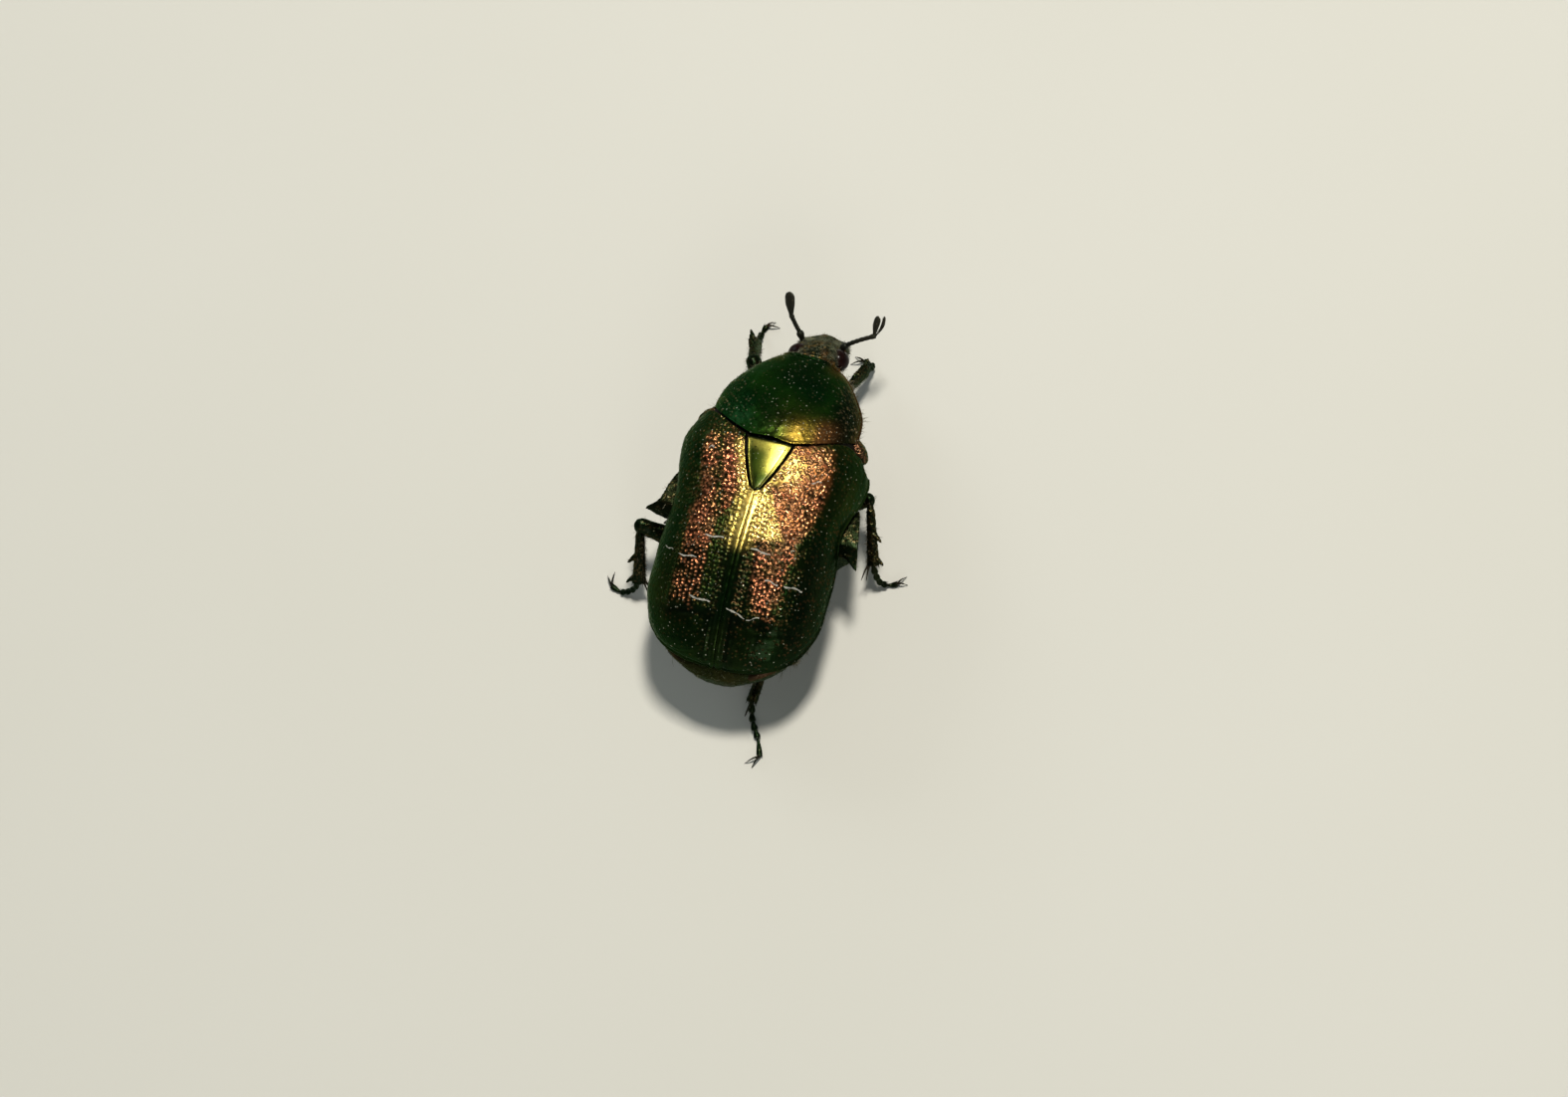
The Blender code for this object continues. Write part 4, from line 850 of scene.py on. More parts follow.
def pronotum_bands(x, y, margin, behind, mask):
    """The colours of the pronotum point by point, carried over its rolled edges: copper, at the right rear
    corner partly a painted reflection; a painted highlight at the rear right, kept off the rim; painted shade
    on the right side, toward the front and on the rim; the pits' tint with its painted glints.
    """
    corner = bump(x, -2.35, 0.55) * ramp(y, -4.9, -3.8)
    edge = ramp(-margin, -1.1, -0.1)
    front = ramp(-behind, -1.0, -0.1) * ramp(np.abs(x), 0.8, 1.8)
    painted_highlight = 0.95 * bump(x, -1.3, 0.62) * ramp(y, -4.6, -3.6) + 0.22 * ramp(y, -5.8, -3.4) * bump(x, -1.0, 1.3)
    painted_highlight = padded(painted_highlight)
    return {
        "copper": padded(0.3 * edge + 0.95 * corner + 0.45 * front),
        "painted_highlight": painted_highlight * (1 - rimmed(np.zeros_like(painted_highlight))),
        "shade": rimmed(padded(ramp(-x, 1.9, 2.9) + 0.5 * ramp(-y, 5.6, 6.8))),
        "pit": padded(np.clip(0.5 + 0.5 * corner + 0.4 * edge, 0.0, 1.0) * mask),
    }


def pronotum_pits(grid, normals, arc, x, y, inside):
    """Presses pits in where inside says, larger and denser at the sides. Returns the points and a mask, in
    which a few strong values paint glints in the pits.
    """
    chance = np.random.default_rng(12)
    r, c = lattice(arc, y, *PRONOTUM_PIT_STEPS, chance)
    side = ramp(np.abs(x[r, c]), 1.6, 3.0)
    keep = inside[r, c] & (chance.uniform(size=len(r)) < 0.6 + 0.4 * side)
    r, c, side = r[keep], c[keep], side[keep]
    count = len(r)
    radii = (0.034 + 0.026 * side) * chance.uniform(0.8, 1.25, count)
    depths = (0.011 + 0.016 * side) * chance.uniform(0.8, 1.2, count)
    hooked = chance.uniform(size=count) < 0.5 * side
    return pits(grid, normals, grid[r, c], radii, depths, hooked, 0.9 * chance.uniform(0.0, 1.0, count) ** 3)


def build_pronotum():
    angle = np.linspace(0.0, math.pi, PRONOTUM_COLUMNS)[None, :]
    base = np.full_like(angle, -3.0)
    for _ in range(SETTLING_ROUNDS):
        base = profile(PRONOTUM_BASE, np.abs(prothorax_ring(base, angle, False)[0]))
    y = PRONOTUM_FRONT + (base - PRONOTUM_FRONT) * np.linspace(0.0, 1.0, PRONOTUM_ROWS)[:, None]
    x, z = prothorax_ring(y, angle, False)
    grid = np.stack((x, y, z), axis=-1)
    normals = normals_of(grid, -1)
    arc = arc_lengths(grid)
    margin = np.minimum(arc, arc[:, -1:] - arc)
    behind = y - PRONOTUM_FRONT
    height = folds(PRONOTUM_SIDE_FOLDS, margin) + folds(PRONOTUM_FRONT_FOLDS, behind)
    height = height + 0.02 * bump(base - y, 0.0, 0.12)
    height = height + 0.012 * ripple(grid, 1.2, 41) + 0.004 * ripple(grid, 0.35, 42)
    grid = grid + normals * height[..., None]
    normals = normals_of(grid, -1)
    inside = (margin > 0.16) & (behind > 0.15) & (base - y > 0.15)
    shown, mask = pronotum_pits(grid, normals, arc, x, y, inside)
    shown = turned_prothorax(rolled(shown, normals, EDGE_ROLL))
    bands = pronotum_bands(x, y, margin, behind, mask)
    add_sheet("pronotum_shield", shown, "pronotum", ("pronotum",), "metallic_green", bands)
    return skin_of(turned_prothorax(grid), normals, margin=margin, behind=behind)


def build_prosternum():
    y, angle = half_rings(*PROSTERNUM)
    x, z = prothorax_ring(y, angle, True)
    grid = np.stack((x, y, z), axis=-1)
    normals = normals_of(grid, 1)
    grid = grid + normals * (0.012 * ripple(grid, 0.6, 80) - 0.05 * bump(np.abs(x), 0.0, 0.07))[..., None]
    shown, mask = scattered_pits(grid, normals, 81, 3, (4, 4), 0.75, (0.04, 0.07), 0.4, 0.4)
    shown = turned_prothorax(rolled(shown, normals, BREAST_ROLL))
    bands = {"pit": padded(0.7 * mask, BREAST_ROLL)}
    add_sheet("prosternum_skin", shown, "under", ("prosternum",), attributes=bands)
    return skin_of(turned_prothorax(grid), normals)


# Underside and what closes the body behind and under the seams. Sheets: first and last y, rows and columns
STERNITE_EDGES = (3.9, 4.8, 5.7, 6.5, 7.2)
STERNITE_STEP = 0.13
STERNITE_SLOPE = 0.55
UNDERSIDE = (-4.1, 8.7, 260, 190)
COXAL_GROOVE_Y = -2.3
STERNAL_KNOB_Y = -2.3
STERNAL_KNOB_PULL = np.array((0.0, -0.1, -0.32))
SHOULDER_PLATES = {1: "shoulder_plate_left", -1: "shoulder_plate_right"}
SHOULDER_CENTRE = np.array((3.82, -3.82, 5.72))
SHOULDER_RADII = (0.8, 0.42, 0.55)
SHOULDER_TURN = math.radians(45)
COLLAR = (-4.15, -1.6, 60, 160)
COLLAR_DEPTH = 0.34
PYGIDIUM_ROWS, PYGIDIUM_COLUMNS = 90, 220
PYGIDIUM_START, PYGIDIUM_END = 7.6, 8.98
PYGIDIUM_OPEN, PYGIDIUM_CLOSING = 0.8, 0.2  # the shares of its rows before and while it closes
PYGIDIUM_MIDDLE = 4.28
PYGIDIUM_BULGE = 0.14


def flank_height(y):
    return np.minimum(profile(ELYTRA_EDGE, y) - MARGIN_TO_FLANK, profile(BODY_REAR_TOP, y))


def belly_ring(y, angle, grow=0.0):
    """Points of the underside at places along it, from the left flank at angle 0 to the right one at pi."""
    width = profile(BODY_HALF_WIDTH, y) + grow
    bottom = profile(BODY_BOTTOM, y) - grow
    flank = flank_height(y)
    down = rounded(np.clip(np.sin(angle), 0.0, 1.0), BELLY_ROUNDNESS)
    return width * rounded(np.cos(angle), BELLY_ROUNDNESS), flank + (bottom - flank) * down


def sternite_swell(y):
    """A saw-tooth that drops at the hind edge of each sternite."""
    total = np.zeros_like(y)
    for edge in STERNITE_EDGES:
        rise = STERNITE_STEP * (1 - (edge - y) / STERNITE_SLOPE)
        total += np.where((y > edge - STERNITE_SLOPE) & (y <= edge), rise, 0.0)
        total -= 0.03 * bump(y, edge + 0.05, 0.05)
    return total


def build_underside():
    y, angle = half_rings(*UNDERSIDE)
    x, z = belly_ring(y, angle)
    grid = np.stack((x, y, z), axis=-1)
    ax = np.abs(x)
    height = sternite_swell(y) + 0.01 * ripple(grid, 0.8, 51)
    height = height - 0.05 * bump(ax, 0.0, 0.06) * ramp(-y, -2.4, -1.6)
    height = height - 0.06 * bump(y, COXAL_GROOVE_Y - 0.1 * ax, 0.07) * ramp(ax, 0.6, 0.8)
    height = height - 0.05 * bump(ax, 3.35 + 0.12 * y, 0.06) * ramp(-y, 0.2, 0.6)
    height = height - 0.05 * bump(y, 2.65, 0.07)
    grid = grid + normals_of(grid, 1) * height[..., None]
    normals = normals_of(grid, 1)
    share, scale = 0.25 + 0.6 * ramp(ax, 0.8, 2.2), 0.045 + 0.03 * ramp(ax, 1.0, 2.5)
    shown, mask = scattered_pits(grid, normals, 15, 4, (5, 4), share, (0.8, 1.2), 0.35, 0.4, scale)
    shown = shown + STERNAL_KNOB_PULL * (bump(x, 0.0, 0.5) * bump(y, STERNAL_KNOB_Y, 0.55))[..., None]
    shown = rolled(shown, normals, DECK_ROLL)
    bands = {"pit": padded(0.7 * mask, DECK_ROLL)}
    add_sheet("underside", shown, "under", ("thorax", "abdomen"), attributes=bands)
    return skin_of(grid, normals)


def ball_grid(centre, radii, rows=40, columns=60):
    """Points over an ellipsoid from pole to pole and their normals. The last column repeats the first."""
    polar = np.linspace(0.001, math.pi - 0.001, rows)[:, None]
    turn = np.linspace(0.0, 2 * math.pi, columns)[None, :]
    x, y, z = np.sin(polar) * np.cos(turn), np.sin(polar) * np.sin(turn), np.cos(polar) + 0 * turn
    way = np.stack((x, y, z), axis=-1)
    return way * np.array(radii) + np.array(centre), unit(way / np.array(radii))


def build_shoulder_plates():
    for side, name in SHOULDER_PLATES.items():
        grid, normals = ball_grid((0.0, 0.0, 0.0), SHOULDER_RADII, 60, 90)
        turn = np.array(Matrix.Rotation(side * SHOULDER_TURN, 3, "Z"))
        grid, normals = grid @ turn.T + SHOULDER_CENTRE * (side, 1, 1), normals @ turn.T
        grid = grid + normals * 0.015 * ripple(grid, 0.5, 60 + side)[..., None]
        shown, mask = scattered_pits(grid, normals, 61 + side, 2, (4, 5), 0.8, (0.04, 0.065), 0.4)
        add_sheet(name, shown, "under", attributes={"pit": 0.7 * mask})


def build_collar():
    """The dark ring of the thorax that closes the seam between the pronotum and the elytra."""
    y, angle = half_rings(*COLLAR)
    width = np.minimum(profile(ELYTRA_HALF_WIDTH, y), profile(PRONOTUM_HALF_WIDTH, y) + 0.75) - COLLAR_DEPTH
    top, edge = profile(ELYTRA_TOP, y) - COLLAR_DEPTH, profile(ELYTRA_EDGE, y)
    x = width * rounded(np.cos(angle), DOME_ROUNDNESS)
    grid = np.stack((x, y, edge + (top - edge) * rounded(np.sin(angle), DOME_ROUNDNESS)), axis=-1)
    add_sheet("collar_skin", grid, "membrane")


def build_pygidium():
    """The last plate of the back, which shows behind the elytra, closed to a blunt end."""
    turn = np.linspace(0.0, 2 * math.pi, PYGIDIUM_COLUMNS)[None, :]
    t = np.linspace(0.0, 1.0, PYGIDIUM_ROWS)[:, None]
    y = PYGIDIUM_START + (PYGIDIUM_END - PYGIDIUM_START) * np.minimum(t / PYGIDIUM_OPEN, 1.0) + 0 * turn
    x, z = belly_ring(y, turn, 0.02)
    z = np.where(turn > math.pi, flank_height(y) + 0.32 * np.abs(np.sin(turn)) ** 1.2, z)
    close = np.clip((t - PYGIDIUM_OPEN) / PYGIDIUM_CLOSING, 0.0, 1.0) + 0 * turn
    shrink = np.sqrt(np.clip(1 - close**2, 0.0, 1.0))
    z = PYGIDIUM_MIDDLE + (z - PYGIDIUM_MIDDLE) * shrink
    grid = np.stack((x * shrink, y + PYGIDIUM_BULGE * close, z), axis=-1)
    normals = normals_of(grid, 1)
    wrinkle = np.sin(z * 30 + 3 * ripple(grid, 0.9, 71))
    grid = grid + normals * (0.012 * ripple(grid, 0.6, 70) + 0.006 * wrinkle)[..., None]
    shown, _ = scattered_pits(grid, normals, 72, 3, (3, 4), 0.6, (0.03, 0.05), 0.35)
    add_sheet("pygidium_plate", shown, "pygidium", ("pygidium",), "pygidium_bronze")
    return skin_of(shown, normals)


# Tubes and skins melted together, with the steps along each kind of tube
THORN_STEPS = 8
PALP_STEPS = 24
WHIP_STEPS = 80
LEAF_STEPS = 24
TARSUS_STEPS = 120
CLAW_STEPS = 30


def smooth_line(points, count):
    """A smooth line of count + 1 points through a few given ones."""
    p = np.array(points, dtype=float)
    p = np.concatenate(([2 * p[0] - p[1]], p, [2 * p[-1] - p[-2]]))
    spans = len(p) - 3
    place = np.linspace(0, spans, count + 1)
    k = np.minimum(place.astype(int), spans - 1)
    t = (place - k)[:, None]
    p0, p1, p2, p3 = p[k], p[k + 1], p[k + 2], p[k + 3]
    square, cube = 2 * p0 - 5 * p1 + 4 * p2 - p3, 3 * p1 - p0 - 3 * p2 + p3
    return 0.5 * (2 * p1 + (p2 - p0) * t + square * t**2 + cube * t**3)


def tube(path, breadths, thicknesses, facing, sides=24, squareness=2.0):
    """A ring of points round each place of a path. Breadth lies across the facing direction."""
    along = unit(np.gradient(path, axis=0))
    across = unit(np.cross(along, np.array(facing, dtype=float)))
    flat = unit(np.cross(across, along))
    angle = (np.arange(sides) + 0.5) * 2 * math.pi / sides
    c, s = (rounded(values, squareness)[None, :, None] for values in (np.cos(angle), np.sin(angle)))
    b, h = (np.broadcast_to(sizes, len(path))[:, None, None] for sizes in (breadths, thicknesses))
    return path[:, None] + across[:, None] * b * c + flat[:, None] * h * s


def capped(grid):
    """The points and faces of a tube with its ends closed."""
    rows, sides = grid.shape[:2]
    faces = grid_faces(rows, sides, wrap=True)
    faces.append(list(range(sides))[::-1])
    faces.append(list(range((rows - 1) * sides, rows * sides)))
    return grid.reshape(-1, 3), faces


def joined(parts):
    """Several pairs of points and faces as one."""
    points, faces, start = [], [], 0
    for part_points, part_faces in parts:
        points.append(part_points)
        faces += [[i + start for i in face] for face in part_faces]
        start += len(part_points)
    return np.concatenate(points), faces


def thorn(root, tip, radius, bend=(0.0, 0.0, 0.0), sides=10, blunt=0.012):
    """A pointed, slightly curved thorn."""
    root, tip = np.array(root, dtype=float), np.array(tip, dtype=float)
    path = smooth_line([root, (root + tip) / 2 + np.array(bend), tip], THORN_STEPS)
    radii = blunt + (radius - blunt) * (1 - shares(THORN_STEPS)) ** 0.8
    upright = abs((tip - root)[2]) >= 0.9 * np.linalg.norm(tip - root)
    return capped(tube(path, radii, radii, (1, 0, 0) if upright else (0, 0, 1), sides))


def vertex_values(mesh, key):
    values = np.empty(len(mesh.vertices) * 3)
    mesh.vertices.foreach_get(key, values)
    return values.reshape(-1, 3)


def melted(parts, voxel, smoothing=2):
    """One skin round several closed shapes: points, faces and normals."""
    points, faces = joined(parts)
    mesh = bpy.data.meshes.new("melting")
    mesh.from_pydata(points.tolist(), [], faces)
    obj = bpy.data.objects.new("melting", mesh)
    bpy.context.scene.collection.objects.link(obj)
    remesh = obj.modifiers.new("remesh", "REMESH")
    remesh.mode = "VOXEL"
    remesh.voxel_size = voxel
    smooth = obj.modifiers.new("smooth", "SMOOTH")
    smooth.iterations = smoothing
    made = bpy.data.meshes.new_from_object(obj.evaluated_get(bpy.context.evaluated_depsgraph_get()))
    faces = [list(face.vertices) for face in made.polygons]
    result = vertex_values(made, "co"), faces, vertex_values(made, "normal")
    bpy.data.objects.remove(obj, do_unlink=True)
    bpy.data.meshes.remove(mesh)
    bpy.data.meshes.remove(made)
    return result


def node_shape(name):
    """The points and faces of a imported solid, in the beetle's frame."""
    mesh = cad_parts[name].data
    return vertex_values(mesh, "co") / MM - ORIGIN, [list(face.vertices) for face in mesh.polygons]


# Head: rings by their distance along it, half width, rise and drop, and how square they are along it
HEAD_RINGS = (
    (-1.0, 0.7, 0.02, 0.5), (-0.5, 0.98, 0.44, 0.75), (0.0, 1.05, 0.72, 0.75), (0.4, 1.08, 0.84, 0.9),
    (0.85, 1.02, 0.84, 0.95), (1.25, 1.22, 0.72, 0.85), (1.6, 1.3, 0.58, 0.62), (2.05, 1.28, 0.46, 0.40),
    (2.35, 1.2, 0.42, 0.24), (2.46, 1.1, 0.44, 0.16), (2.58, 0.95, 0.40, 0.10),
)
HEAD_SQUARENESS = ((0.0, 2.3), (0.85, 2.4), (1.6, 2.8), (2.58, 3.2))
HEAD_SIDES = 96
HEAD_VOXEL = 0.034
HEAD_ORIGIN = np.array((-0.42, -8.0, 5.35))
HEAD_PITCH = math.radians(52)
HEAD_YAW = math.radians(8)
HEAD_ROLL = math.radians(-4)
HEAD_TURN = np.array(
    Matrix.Rotation(HEAD_YAW, 3, "Z")
    @ Matrix.Rotation(HEAD_PITCH, 3, "X")
    @ Matrix.Rotation(HEAD_ROLL, 3, "Y")
)
EYES = {1: "eye_left", -1: "eye_right"}
EYE_CENTRE = np.array((1.0, -0.5, 0.05))
EYE_RADII = (0.57, 0.53, 0.57)
CANTHUS_CENTRE, CANTHUS_RADII = (1.16, -1.02, 0.1), (0.3, 0.34, 0.085)
PALP_LINE = ((0.75, -1.5, -0.35), (0.95, -1.95, -0.75), (0.9, -2.45, -0.95))
PALP_RADIUS = 0.15
JAW_ROOT, JAW_TIP, JAW_RADIUS = (0.3, -1.7, -0.4), (0.28, -2.35, -0.55), 0.22
NECK_CENTRE, NECK_RADII = (0.0, 0.6, -0.25), (0.95, 0.7, 0.5)


def on_head(points):
    """Carries points from the head's own frame, with its axis along -Y from the neck, to the beetle's."""
    return np.asarray(points) @ HEAD_TURN.T + HEAD_ORIGIN


def head_loft():
    distance = np.concatenate((np.linspace(-1.0, 2.4, 70), np.linspace(2.42, 2.58, 8)))[:, None]
    width, rise, drop = (profile([(ring[0], ring[k]) for ring in HEAD_RINGS], distance) for k in (1, 2, 3))
    squareness = profile(HEAD_SQUARENESS, distance)
    angle = (np.arange(HEAD_SIDES) + 0.5)[None, :] * 2 * math.pi / HEAD_SIDES
    x = width * rounded(np.cos(angle), squareness)
    above = np.sin(angle) > 0
    z = np.where(above, rise, drop) * rounded(np.sin(angle), squareness)
    z = z + 0.2 * above * bump(x, 0.0, 0.45) * ramp(distance, 1.3, 2.3)
    notch = 0.05 * bump(x, 0.0, 0.24) * ramp(distance, 2.2, 2.5)
    return capped(np.stack((x, -distance + notch, z), axis=-1)[:, ::-1])


def head_parts():
    """The shapes that are melted into the head: its box, the ridges before the eyes, palps and jaws."""
    parts = [head_loft()]
    share = shares(PALP_STEPS)
    joints = 1 - 0.3 * bump(share, 0.3, 0.04) - 0.3 * bump(share, 0.6, 0.04)
    radii = PALP_RADIUS * joints * (1 - ramp(share, 0.9, 1.02)) + 0.015
    for side in (1, -1):
        flip = np.array((side, 1, 1))
        canthus, _ = ball_grid(CANTHUS_CENTRE * flip, CANTHUS_RADII, 14, 25)
        parts.append(capped(canthus[:, :-1]))
        parts.append(capped(tube(smooth_line(PALP_LINE * flip, PALP_STEPS), radii, radii, (1, 0, 0), 14)))
        parts.append(thorn(JAW_ROOT * flip, JAW_TIP * flip, JAW_RADIUS, blunt=0.1))
    return parts


def build_head():
    points, faces, normals = melted(head_parts(), HEAD_VOXEL)
    x, y, z = points.T
    upper = ramp(z, 0.05, 0.25)
    height = 0.05 * upper * bump(x, 0.0, 0.1) * bump(y, -0.9, 0.6) + 0.01 * ripple(points, 0.4, 90)
    height -= 0.05 * upper * bump(np.abs(x), 0.45, 0.22) * bump(y, -1.5, 0.35)
    height += 0.035 * upper * bump(np.abs(x), 1.1, 0.07) * ramp(-y, 1.35, 1.6)
    points = points + normals * height[:, None]
    points, mask = pitted(points, normals, 91, 1500, (0.035, 0.06), 0.5, 0.2, 5)
    copper = 0.8 * bump(np.abs(x), 1.25, 0.2) * bump(y, -1.05, 0.4) + 0.25 * ripple(points, 0.8, 92)
    placed = on_head(points)
    uv = np.stack((np.arctan2(x, z) / (2 * math.pi) + 0.5, np.clip(-y / 3.4 + 0.16, 0, 1)), axis=-1)
    bands = {"pit": mask, "copper": np.clip(copper, 0, 1)}
    add_piece("head_skin", placed, faces, "head", ("head",), attributes=bands)
    for side, name in EYES.items():
        grid, _ = ball_grid(EYE_CENTRE * (side, 1, 1), EYE_RADII, 120, 180)
        add_sheet(f"{name}_facets", on_head(grid), "eye", (name,), "eye_brown")
    neck, _ = ball_grid(NECK_CENTRE, NECK_RADII, 30, 50)
    add_sheet("neck_membrane", on_head(neck), "membrane")
    return {"points": placed, "normals": normals @ HEAD_TURN.T, "local": points, "uv": uv}


# Antennae: the line of the whip from its root, and the leaves of the club, each with its root, tip,
# half breadth, half thickness, shift and bow
ANTENNAE = {
    "antenna_left": {
        "line": ((0.72, -9.1, 4.5), (0.93, -9.42, 4.84), (1.2, -9.7, 5.15), (1.48, -10.02, 5.5)),
        "leaves": (
            ((1.45, -9.94, 5.47), (1.74, -10.99, 6.19), 0.25, 0.08, 0.0, 0.0),
            ((1.47, -9.94, 5.47), (1.74, -10.96, 6.19), 0.235, 0.06, 0.1, 0.0),
            ((1.43, -9.94, 5.47), (1.73, -10.96, 6.16), 0.235, 0.06, -0.1, 0.0),
        ),
    },
    "antenna_right": {
        "line": ((-1.2, -8.95, 4.5), (-1.47, -9.29, 4.8), (-2.1, -9.6, 5.17), (-2.95, -9.95, 5.5)),
        "leaves": (
            ((-2.9, -9.88, 5.5), (-2.93, -10.83, 6.05), 0.165, 0.06, 0.0, 0.0),
            ((-2.91, -9.89, 5.46), (-2.96, -10.79, 5.98), 0.155, 0.05, -0.07, 0.0),
            ((-2.96, -9.94, 5.45), (-3.24, -10.92, 5.95), 0.1, 0.055, 0.0, -0.13),
        ),
    },
}
LEAF_FACING = unit(np.array((0.3, 0.2, 1.0)))


def antenna_leaf(root, tip, breadth, thickness, shift, bow):
    """One leaf of the club, shifted along its flat side at the tip, with its middle bowed along X."""
    root, tip = np.array(root), np.array(tip)
    middle = (root + tip) / 2 + LEAF_FACING * (0.05 + shift * 0.3) + np.array((bow, 0.0, 0.0))
    path = smooth_line([root, middle, tip + LEAF_FACING * shift], LEAF_STEPS)
    share = shares(LEAF_STEPS)
    outline = (0.4 + 0.6 * ramp(share, 0.0, 0.6)) * np.sqrt(1 - np.clip((share - 0.74) / 0.262, 0, 1) ** 2)
    return capped(tube(path, breadth * outline, thickness * (0.5 + 0.5 * outline), LEAF_FACING, 20))


def build_antennae():
    share = shares(WHIP_STEPS)
    scape = 0.12 + 0.075 * bump(share, 0.3, 0.12)
    bead = 0.1 + 0.02 * np.abs(np.sin((share - 0.4) * 6 * math.pi / 0.6)) + 0.02 * ramp(share, 0.85, 1.0)
    radii = np.where(share < 0.4, scape, bead) * (0.4 + 0.6 * ramp(share, 0.0, 0.06))
    for name, form in ANTENNAE.items():
        whip = capped(tube(smooth_line(form["line"], WHIP_STEPS), radii, radii, (0, 0, 1), 18))
        leaves = [antenna_leaf(*leaf) for leaf in form["leaves"]]
        add_piece(f"{name}_horn", *joined([whip, *leaves]), "antenna", (name,))


# Legs: hip, knee and ankle, the line of the tarsus and the tips of the claws, all as if on the left
LEGS = {
    "fore_left": (
        ((1.3, -5.15, 2.2), (3.22, -7.98, 3.45), (3.75, -9.45, 1.35)),
        ((3.85, -9.95, 0.62), (3.92, -10.4, 0.16), (3.8, -10.85, 0.15)),
        ((3.1, -10.95, 0.05), (3.4, -11.2, 0.05)),
    ),
    "fore_right": (
        ((1.3, -5.15, 2.2), (1.75, -7.35, 3.2), (2.13, -9.28, 1.5)),
        ((2.2, -9.75, 0.68), (2.05, -10.1, 0.16), (1.65, -10.2, 0.15)),
        ((0.98, -9.9, 0.05), (1.1, -10.35, 0.05)),
    ),
    "mid_left": (
        ((1.65, -1.2, 1.5), (4.45, -1.7, 3.4), (4.9, 1.1, 1.9)),
        ((4.95, 1.7, 1.05), (5.0, 2.3, 0.3), (5.0, 3.0, 0.15)),
        ((5.3, 3.6, 0.05), (4.85, 3.7, 0.05)),
    ),
    "mid_right": (
        ((1.65, -1.2, 1.5), (4.65, -2.2, 3.4), (5.5, 0.75, 2.1)),
        ((5.62, 1.0, 1.35), (5.8, 1.1, 0.55), (6.2, 1.0, 0.16), (6.55, 0.85, 0.15)),
        ((6.9, 0.35, 0.05), (7.05, 0.75, 0.05)),
    ),
    "hind_left": (
        ((1.6, 2.05, 1.45), (6.2, 1.95, 3.7), (5.95, 4.25, 1.4)),
        ((6.4, 4.5, 0.55), (7.0, 4.62, 0.16), (7.55, 4.45, 0.15)),
        ((7.65, 3.65, 0.05), (7.95, 3.95, 0.05)),
    ),
    "hind_right": (
        ((1.6, 2.05, 1.45), (1.62, 5.8, 1.75), (1.3, 8.8, 1.05)),
        ((1.5, 9.6, 0.45), (1.95, 10.35, 0.16), (2.3, 11.2, 0.15)),
        ((1.65, 11.7, 0.05), (2.05, 11.85, 0.05)),
    ),
}
# Half breadths and half thicknesses of the femur at its ends and middle, and of the tibia at its ends
FEMUR_SIZES = {
    "fore": ((0.33, 0.28), (0.48, 0.34), (0.42, 0.36)),
    "mid": ((0.33, 0.28), (0.48, 0.34), (0.33, 0.28)),
    "hind": ((0.37, 0.3), (0.6, 0.36), (0.4, 0.28)),
}
TIBIA_SIZES = {
    "fore": ((0.3, 0.22), (0.42, 0.25)),
    "mid": ((0.2, 0.19), (0.33, 0.25)),
    "hind": ((0.22, 0.2), (0.36, 0.27)),
}
TIBIA_TEETH = {"fore": (0.42, 0.68, 0.94), "mid": (0.6, 0.95), "hind": (0.6, 0.95)}
TIBIA_VOXEL = 0.036
TOOTH_HEIGHT = {"fore": 0.42, "mid": 0.3, "hind": 0.32}
SPUR_COUNT = {"fore": 1, "mid": 2, "hind": 2}
SPUR_LENGTH = {"fore": 0.5, "mid": 0.75, "hind": 0.8}
ANKLE_BRISTLES = 9
TARSOMERE_ENDS = (0.0, 0.18, 0.34, 0.5, 0.65, 1.0)
TARSUS_RADIUS = 0.145
TARSUS_THORN_TURNS = (0.4, 1.5, 2.7, 3.9, 5.2)
# The rear outer corner of a hind coxal plate, and the points that it is drawn out to on each side
COXAL_CORNER = (5.25, 1.55, 5.2)
COXAL_TIPS = {1: (5.8, 1.45, 5.25), -1: (5.35, 2.05, 5.2)}
COXAL_TIP_REACH = 0.5
COXA_VOXEL = 0.045
COXA_PITS = {"fore": 250, "mid": 250, "hind": 900}


def build_femur(name, form, root, knee, bend):
    share = np.linspace(-0.06, 1.06, 110)
    path = root + (knee - root) * share[:, None]
    sizes = []
    for first, middle, last in zip(*FEMUR_SIZES[form]):
        start = ((-0.06, 0.02), (-0.045, first * 0.6), (0.0, first), (0.2, middle), (0.5, middle * 0.98))
        end = ((0.85, last * 1.12), (1.0, last), (1.05, last * 0.55), (1.06, 0.02))
        sizes.append(profile(start + end, share))
    grid = tube(path, *sizes, bend, 56, 2.2)
    normals = normals_of(grid, 1, wrap=True)
    outward = np.sum(normals * (grid - path[:, None]), axis=-1, keepdims=True)
    normals = normals * np.sign(outward + 1e-9)
    grid = grid + normals * (0.012 * ripple(grid, 0.5, 100))[..., None]
    seed = len(name) + int(abs(root[1]) * 10)
    shown, mask = scattered_pits(grid, normals, seed, 3, (4, 4), 0.7, (0.03, 0.055), 0.35, 0.5)
    add_piece(f"{name}_femur_skin", *capped(shown), "leg", (f"{name}_femur",), attributes={"pit": 0.8 * mask})
    return skin_of(grid, normals)


def tibia_size(form, share):
    """Half breadths and half thicknesses at shares of a tibia's length."""
    first, last = (np.array(v) for v in TIBIA_SIZES[form])
    return first + (last - first) * np.asarray(share)[..., None] ** 1.3


